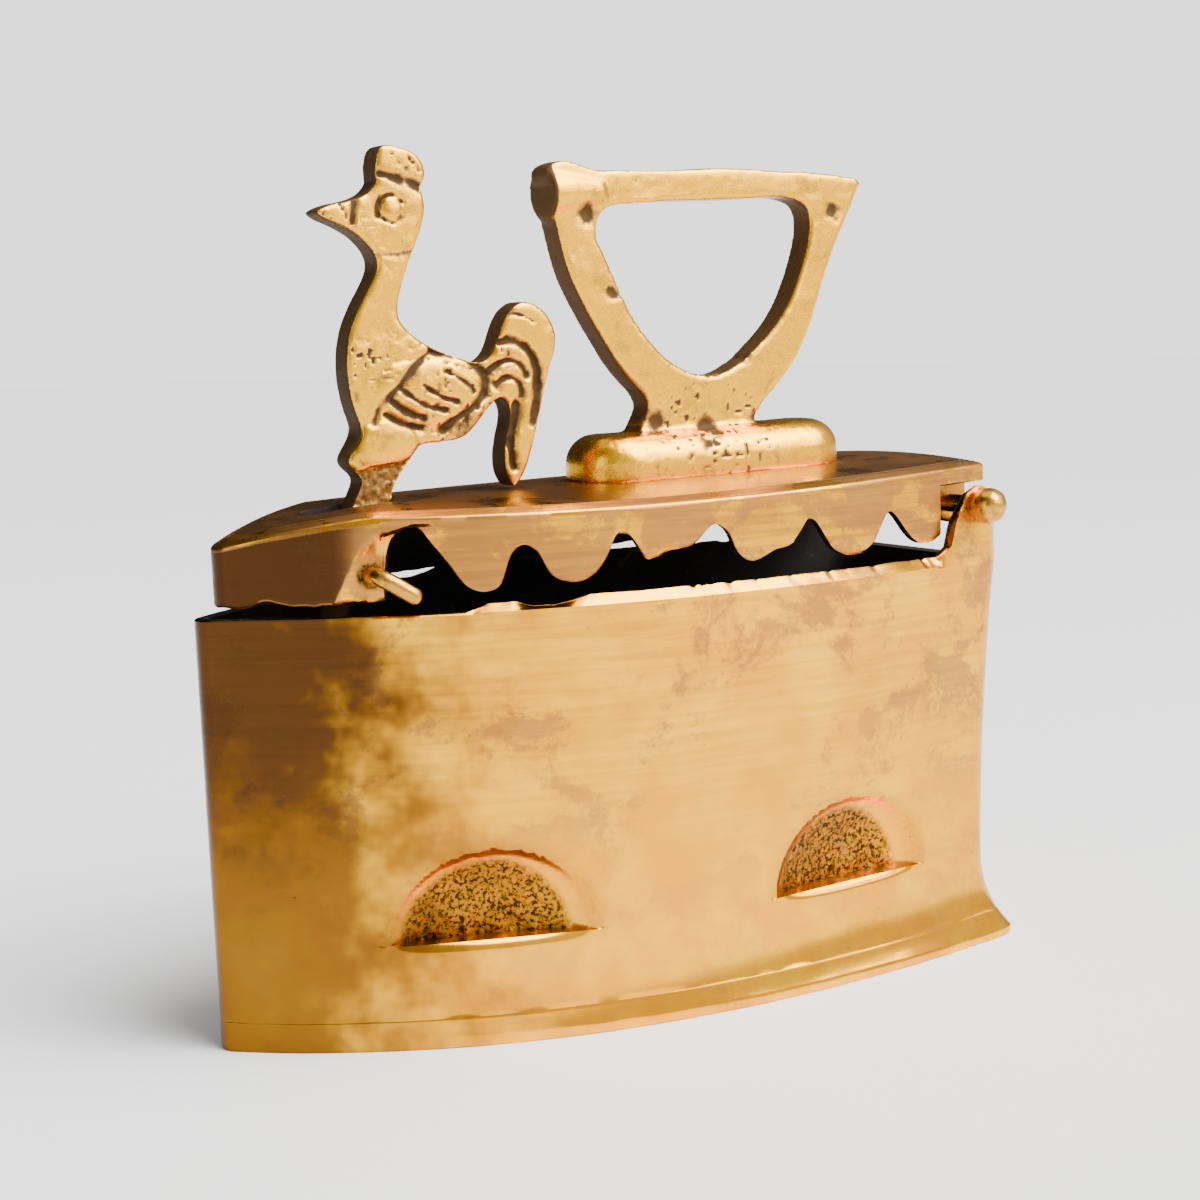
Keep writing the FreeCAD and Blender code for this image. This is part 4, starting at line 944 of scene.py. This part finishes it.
def file_marks_group():
    """Long thin scratches along the wall: noise stretched far along X and Y."""
    group, given, result = new_group("file marks", {"Fineness": 1.0}, ["Height", "Streak"])
    fine = maths(group, "DIVIDE", 0.35, given["Fineness"])
    scratch = noise_node(group, coordinates(group, (0.035, 0.035, 1.0)), fine, 4.0, 0.7)
    long = noise_node(group, coordinates(group, (0.05, 0.05, 1.0)), 1.8, 3.0, 0.6)
    group.links.new(plus(group, scratch, times(group, long, 0.6)), result["Height"])
    group.links.new(step_up(group, long, 0.42, 0.62), result["Streak"])
    return group


def pinholes_group():
    """Small dark casting pinholes: round cells, only some of which are open."""
    group, given, result = new_group("pinholes", {"Spacing": 4.0, "Radius": 0.16, "Share": 0.4}, ["Mask"])
    scale = maths(group, "DIVIDE", 1.0, given["Spacing"])
    cells = put(group, "TexVoronoi", {"Vector": coordinates(group), "Scale": scale, "Randomness": 1.0})
    chance = put(group, "SeparateColor", {"Color": cells.outputs["Color"]}).outputs[0]
    size = times(group, maths(group, "DIVIDE", given["Radius"], given["Spacing"]),
                 plus(group, 0.5, chance))
    hole = maths(group, "LESS_THAN", cells.outputs["Distance"], size)
    chosen = maths(group, "LESS_THAN", chance, given["Share"])
    group.links.new(times(group, hole, chosen), result["Mask"])
    return group


def cast_grain_group():
    """Sandy skin of an unfiled casting, as a height and as dark hollows."""
    group, given, result = new_group("cast grain", {"Size": 0.9}, ["Height", "Hollow"])
    grain = noise_node(group, coordinates(group), given["Size"], 5.0, 0.68)
    group.links.new(grain, result["Height"])
    group.links.new(step_up(group, grain, 0.56, 0.42), result["Hollow"])
    return group


GROUPS = {"tarnish": tarnish_group(), "file": file_marks_group(), "pinholes": pinholes_group(),
          "grain": cast_grain_group()}


def effect(tree, name, values=None):
    node = put(tree, "Group", node_tree=GROUPS[name])
    for socket, value in (values or {}).items():
        node.inputs[socket].default_value = value
    return node.outputs


def new_finish(name, metallic=1.0):
    material = bpy.data.materials.new(name)
    material.use_nodes = True
    tree = material.node_tree
    shader = tree.nodes["Principled BSDF"]
    shader.inputs["Metallic"].default_value = metallic
    return material, tree, shader


def finish_surface(tree, shader, colour, roughness, height, strength, distance=0.2):
    """Feeds the shader's colour, roughness and normal; distance is the relief in millimetres."""
    feed(tree, shader.inputs["Base Color"], colour)
    feed(tree, shader.inputs["Roughness"], roughness)
    bump = put(tree, "Bump", {"Height": height, "Strength": strength, "Distance": distance * MM})
    tree.links.new(bump.outputs[0], shader.inputs["Normal"])


BRIGHT_BRASS = (0.86, 0.345, 0.0)
PALE_BRASS = (0.95, 0.455, 0.004)
BROWN_BRASS = (0.20, 0.095, 0.022)
# Brown of the painted dark reflection over the nose.
NOSE_SHADE_BROWN = (0.058, 0.023, 0.008)
PINK_TARNISH = (0.25, 0.105, 0.055)
# Near black of dirt in cuts, pits and pockets, and of painted shade.
DIRT_AND_SHADE_BLACK = (0.014, 0.009, 0.006)
RELIEF_BRASS, RELIEF_EDGE = (0.90, 0.43, 0.0), (0.42, 0.20, 0.04)
ROD_BRASS, ROD_BROWN = (0.60, 0.30, 0.03), (0.17, 0.09, 0.025)
ASH = (0.075, 0.068, 0.06)
# Heights between which the wall goes from cleaner below to tarnished and streaked above.
UPPER_WALL = (30.0, 72.0)


def polished_brass(name, cover=0.5, brown_cover=0.42, patch=26.0, streaks=0.35, shine=0.15,
                   nose=(-44.0, -88.0)):
    """Filed and polished cast brass: tarnish patches, long file marks, pinholes, dark rough pockets, and a
    painted dark reflection over the nose, coming in between the two x of nose.
    """
    material, tree, shader = new_finish(name)
    pink = effect(tree, "tarnish", {"Size": patch, "Cover": cover, "Edge": 0.1})["Mask"]
    brown = effect(tree, "tarnish", {"Size": 61.0, "Cover": brown_cover, "Edge": 0.22})["Mask"]
    scratch = effect(tree, "file", {"Fineness": 1.0})
    holes = effect(tree, "pinholes", {"Spacing": 5.2, "Radius": 0.3, "Share": 0.3})["Mask"]
    grain = effect(tree, "grain", {"Size": 1.0})
    pocket = painted(tree, "dirt_and_shade")
    # Toning marks, only on the lid: brown on its top and chamfer, and a painted dark reflection at its nose.
    worn = painted(tree, "toning")
    cloud = noise_node(tree, coordinates(tree), 17.0, 3.0, 0.6)
    place = put(tree, "SeparateXYZ", {0: coordinates(tree)}).outputs
    wander = times(tree, minus(tree, cloud, 0.5), 75.0)
    # Painted dark reflection: the nose goes dark brown, its edge wandering with the cloud.
    nose_shade = step_up(tree, plus(tree, place["X"], wander), *nose)
    upper = step_up(tree, plus(tree, place["Z"], wander), *UPPER_WALL)
    pink = times(tree, pink, plus(tree, 0.25, times(tree, upper, 0.75)))
    colour = colour_mix(tree, step_up(tree, cloud, 0.35, 0.7), BRIGHT_BRASS, PALE_BRASS)
    streak = times(tree, scratch["Streak"], larger(tree, upper, worn))
    colour = colour_mix(tree, times(tree, streak, streaks * 0.5), colour, BROWN_BRASS)
    brown = times(tree, brown, 0.5)
    brown = larger(tree, brown, worn)
    colour = colour_mix(tree, brown, colour, BROWN_BRASS)
    colour = colour_mix(tree, times(tree, pink, 0.55), colour, PINK_TARNISH)
    # Painted dark reflection over the nose, a little stronger higher up; on the lid it comes from its toning
    # marks at the nose.
    nose_shade_mix = times(tree, nose_shade, plus(tree, 0.82, times(tree, upper, 0.16)))
    nose_shade_mix = larger(tree, nose_shade_mix, step_up(tree, worn, 0.6, 1.0))
    colour = colour_mix(tree, nose_shade_mix, colour, NOSE_SHADE_BROWN)
    dark = times(tree, pocket, plus(tree, 0.48, times(tree, grain["Hollow"], 0.5)))
    dark = larger(tree, dark, times(tree, holes, 0.85))
    colour = colour_mix(tree, dark, colour, DIRT_AND_SHADE_BLACK)
    dull = plus(tree, times(tree, pink, 0.12), times(tree, brown, 0.08))
    dull = plus(tree, dull, times(tree, pocket, 0.22))
    roughness = plus(tree, plus(tree, shine, dull), times(tree, streak, 0.07))
    skin = times(tree, grain["Height"], plus(tree, 0.10, times(tree, pocket, 3.2)))
    filed = plus(tree, 0.10, times(tree, larger(tree, upper, worn), 0.25))
    height = plus(tree, times(tree, scratch["Height"], filed), skin)
    height = minus(tree, height, times(tree, holes, 0.8))
    finish_surface(tree, shader, colour, roughness, height, 0.35, 0.16)
    return material


def relief_brass(name, hollow=0.9):
    """Sand cast brass rubbed bright on its high faces, nearly black in its cuts and pits, and on its faces
    turned to the nose side, where shade is painted.
    """
    material, tree, shader = new_finish(name)
    grain = effect(tree, "grain", {"Size": 1.3})
    fine = effect(tree, "grain", {"Size": 0.45})
    holes = effect(tree, "pinholes", {"Spacing": 2.1, "Radius": 0.2, "Share": 0.4})["Mask"]
    brown = effect(tree, "tarnish", {"Size": 9.0, "Cover": 0.47, "Edge": 0.14})["Mask"]
    # Dark marks: dirt in cuts and pits, and painted shade on the faces turned to the nose side.
    cut = painted(tree, "dirt_and_shade")
    edge = plus(tree, cut, times(tree, minus(tree, grain["Height"], 0.5), 0.7))
    dark = times(tree, step_up(tree, edge, 0.22, 0.62), hollow)
    dark = larger(tree, dark, times(tree, holes, 0.7))
    colour = colour_mix(tree, times(tree, brown, 0.35), RELIEF_BRASS, BROWN_BRASS)
    colour = colour_mix(tree, step_up(tree, edge, 0.08, 0.4), colour, RELIEF_EDGE)
    colour = colour_mix(tree, dark, colour, DIRT_AND_SHADE_BLACK)
    tree.links.new(minus(tree, 1.0, times(tree, dark, 0.85)), shader.inputs["Metallic"])
    shader.inputs["Specular IOR Level"].default_value = 0.12
    roughness = plus(tree, 0.20, times(tree, dark, 0.45))
    roughness = plus(tree, roughness, times(tree, fine["Height"], 0.14))
    height = plus(tree, times(tree, grain["Height"], plus(tree, 0.5, cut)), times(tree, fine["Height"], 0.3))
    height = minus(tree, height, times(tree, holes, 0.5))
    finish_surface(tree, shader, colour, roughness, height, 0.45, 0.22)
    return material


def sooty_iron(name, tone=(0.022, 0.019, 0.017), rust=(0.10, 0.045, 0.022), metallic=0.25, bare=0.0):
    """Metal burnt by coals: near black with ashy bloom and rusty or brassy spots."""
    material, tree, shader = new_finish(name, metallic)
    ash = effect(tree, "tarnish", {"Size": 14.0, "Cover": 0.44, "Edge": 0.2})["Mask"]
    spots = effect(tree, "tarnish", {"Size": 7.0, "Cover": 0.40 + bare, "Edge": 0.12})["Mask"]
    grain = effect(tree, "grain", {"Size": 0.8})
    colour = colour_mix(tree, times(tree, spots, 0.7), tone, rust)
    colour = colour_mix(tree, times(tree, ash, 0.35), colour, ASH)
    roughness = plus(tree, 0.62, times(tree, grain["Height"], 0.3))
    finish_surface(tree, shader, colour, roughness, grain["Height"], 0.5, 0.35)
    return material


def drawn_brass(name):
    """Brass rod, drawn and handled: soft yellow with brown toning and tool nicks."""
    material, tree, shader = new_finish(name)
    toning = effect(tree, "tarnish", {"Size": 5.0, "Cover": 0.52, "Edge": 0.2})["Mask"]
    grain = effect(tree, "grain", {"Size": 0.9})
    holes = effect(tree, "pinholes", {"Spacing": 2.4, "Radius": 0.22, "Share": 0.25})["Mask"]
    colour = colour_mix(tree, times(tree, toning, 0.6), ROD_BRASS, ROD_BROWN)
    colour = colour_mix(tree, times(tree, holes, 0.8), colour, DIRT_AND_SHADE_BLACK)
    roughness = plus(tree, 0.24, times(tree, toning, 0.14))
    finish_surface(tree, shader, colour, roughness, grain["Height"], 0.3, 0.2)
    return material


def floor_finish():
    """Plain pale matt floor with the faintest mottling."""
    material, tree, shader = new_finish("pale_floor", 0.0)
    mottle = noise_node(tree, coordinates(tree), 40.0, 3.0)
    colour = colour_mix(tree, mottle, (0.80, 0.80, 0.80), (0.83, 0.83, 0.83))
    finish_surface(tree, shader, colour, 0.9, mottle, 0.02, 0.1)
    return material


# ------------------------------------------------------------------ pieces on their bodies
def stand_for(piece, body, node):
    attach(piece, body)
    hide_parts(node)


def build_object():
    wall = polished_brass("box_brass")
    lid = polished_brass("lid_brass", cover=0.60, brown_cover=0.36, patch=15.0, streaks=0.8,
                         nose=(-200.0, -210.0))
    sole = polished_brass("sole_brass", shine=0.13)
    relief = relief_brass("cockerel_brass")
    loop = relief_brass("handle_brass", 0.85)
    rod = drawn_brass("rod_brass")
    soot = sooty_iron("sooty_inside", rust=(0.13, 0.075, 0.03), metallic=0.5)
    grate_iron = sooty_iron("grate_iron")
    sheet = sooty_iron("sheet_iron", (0.05, 0.048, 0.046), (0.14, 0.065, 0.03), 0.6, 0.06)
    stand_for(make_box_shell(wall, soot), "box", "body_shell")
    stand_for(make_sole(sole), "box", "sole_plate")
    stand_for(make_hinge_pin(rod), "box", "hinge_pin")
    for lug in make_lugs(soot):
        stand_for(lug, "box", "body_shell")
    stand_for(make_lid(lid, soot), "lid_group", "lid")
    for name, side in (("near", -1), ("far", 1)):
        stand_for(make_knuckle("lid_knuckle_" + name, side, lid), "lid_group", "lid")
    stand_for(make_latch_pin(rod), "lid_group", "latch_pin")
    stand_for(make_handle(loop), "lid_group", "handle")
    stand_for(make_cockerel(relief), "cockerel_latch", "cockerel")
    kept = {"fire_grate": grate_iron, "heat_shield": sheet, "latch_keeper": soot, "sole_rivets": soot}
    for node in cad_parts:
        if node.startswith("grate_foot"):
            kept[node] = grate_iron
        elif node.startswith(("handle_rivet", "rivet_washer", "shield_spacer")):
            kept[node] = sheet
    for node, finish in kept.items():
        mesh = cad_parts[node].data
        mesh.materials.clear()
        mesh.materials.append(finish)


# ------------------------------------------------------------------ floor, light and camera
def build_floor():
    bpy.ops.mesh.primitive_circle_add(vertices=96, radius=6.0, fill_type="NGON", location=(0, 0, 0))
    floor = bpy.context.object
    floor.name = "floor"
    floor.data.materials.append(floor_finish())


def soft_light(name, place, aim, size, power, colour=(1.0, 1.0, 1.0)):
    light = bpy.data.lights.new(name, "AREA")
    light.shape = "RECTANGLE"
    light.size, light.size_y = size
    light.energy = power
    light.color = colour
    lamp = add_object(name, light)
    lamp.location = place
    lamp.rotation_euler = (Vector(aim) - Vector(place)).to_track_quat("-Z", "Y").to_euler()


def build_light():
    """Soft grey surroundings, brighter towards the front right, three soft panels and a wide soft
    sun. The camera itself sees an even pale ground."""
    world = bpy.data.worlds.new("studio")
    bpy.context.scene.world = world
    world.use_nodes = True
    tree = world.node_tree
    background = tree.nodes["Background"]
    way = put(tree, "TexCoord").outputs["Generated"]
    facing = put(tree, "VectorMath", {0: way, 1: (0.55, -0.80, 0.22)}, operation="DOT_PRODUCT")
    glow = step_up(tree, facing.outputs["Value"], -0.35, 0.95)
    seen = put(tree, "LightPath").outputs["Is Camera Ray"]
    around = colour_mix(tree, glow, (0.04, 0.04, 0.042), (1.1, 1.07, 1.02))
    colour = colour_mix(tree, seen, around, (2.0, 2.0, 2.0))
    tree.links.new(colour, background.inputs["Color"])
    middle = (0.0, 0.0, 0.09)
    soft_light("key panel", (0.62, -0.85, 0.70), middle, (0.8, 0.8), 12.0, (1.0, 0.97, 0.92))
    soft_light("top panel", (0.1, 0.1, 1.3), middle, (1.0, 1.0), 5.0)
    soft_light("left strip", (-0.95, -0.35, 0.35), middle, (0.2, 0.6), 1.6)
    sun = bpy.data.lights.new("sky panel", "SUN")
    sun.energy = 7.5
    sun.angle = math.radians(50.0)
    lamp = add_object("sky panel", sun)
    lamp.rotation_euler = Vector((0.45, -0.5, 1.0)).to_track_quat("Z", "Y").to_euler()


def build_camera():
    """Eye level just above the lid, to the left of the near side, with the object turned a little."""
    place = Vector((-284.99, -464.33, 167.27)) * MM
    ahead = Vector((0.51845, 0.84516, -0.13002)).normalized()
    tilt = math.radians(-1.46)
    level = ahead.cross(Vector((0, 0, 1))).normalized()
    upright = level.cross(ahead)
    right = level * math.cos(tilt) + upright * math.sin(tilt)
    upward = upright * math.cos(tilt) - level * math.sin(tilt)
    data = bpy.data.cameras.new("camera")
    data.lens = 65.39
    data.sensor_width = 36.0
    camera = add_object("camera", data)
    camera.matrix_world = Matrix((right, upward, -ahead)).transposed().to_4x4()
    camera.location = place
    bpy.context.scene.camera = camera


build_camera()
build_light()
build_floor()
build_object()
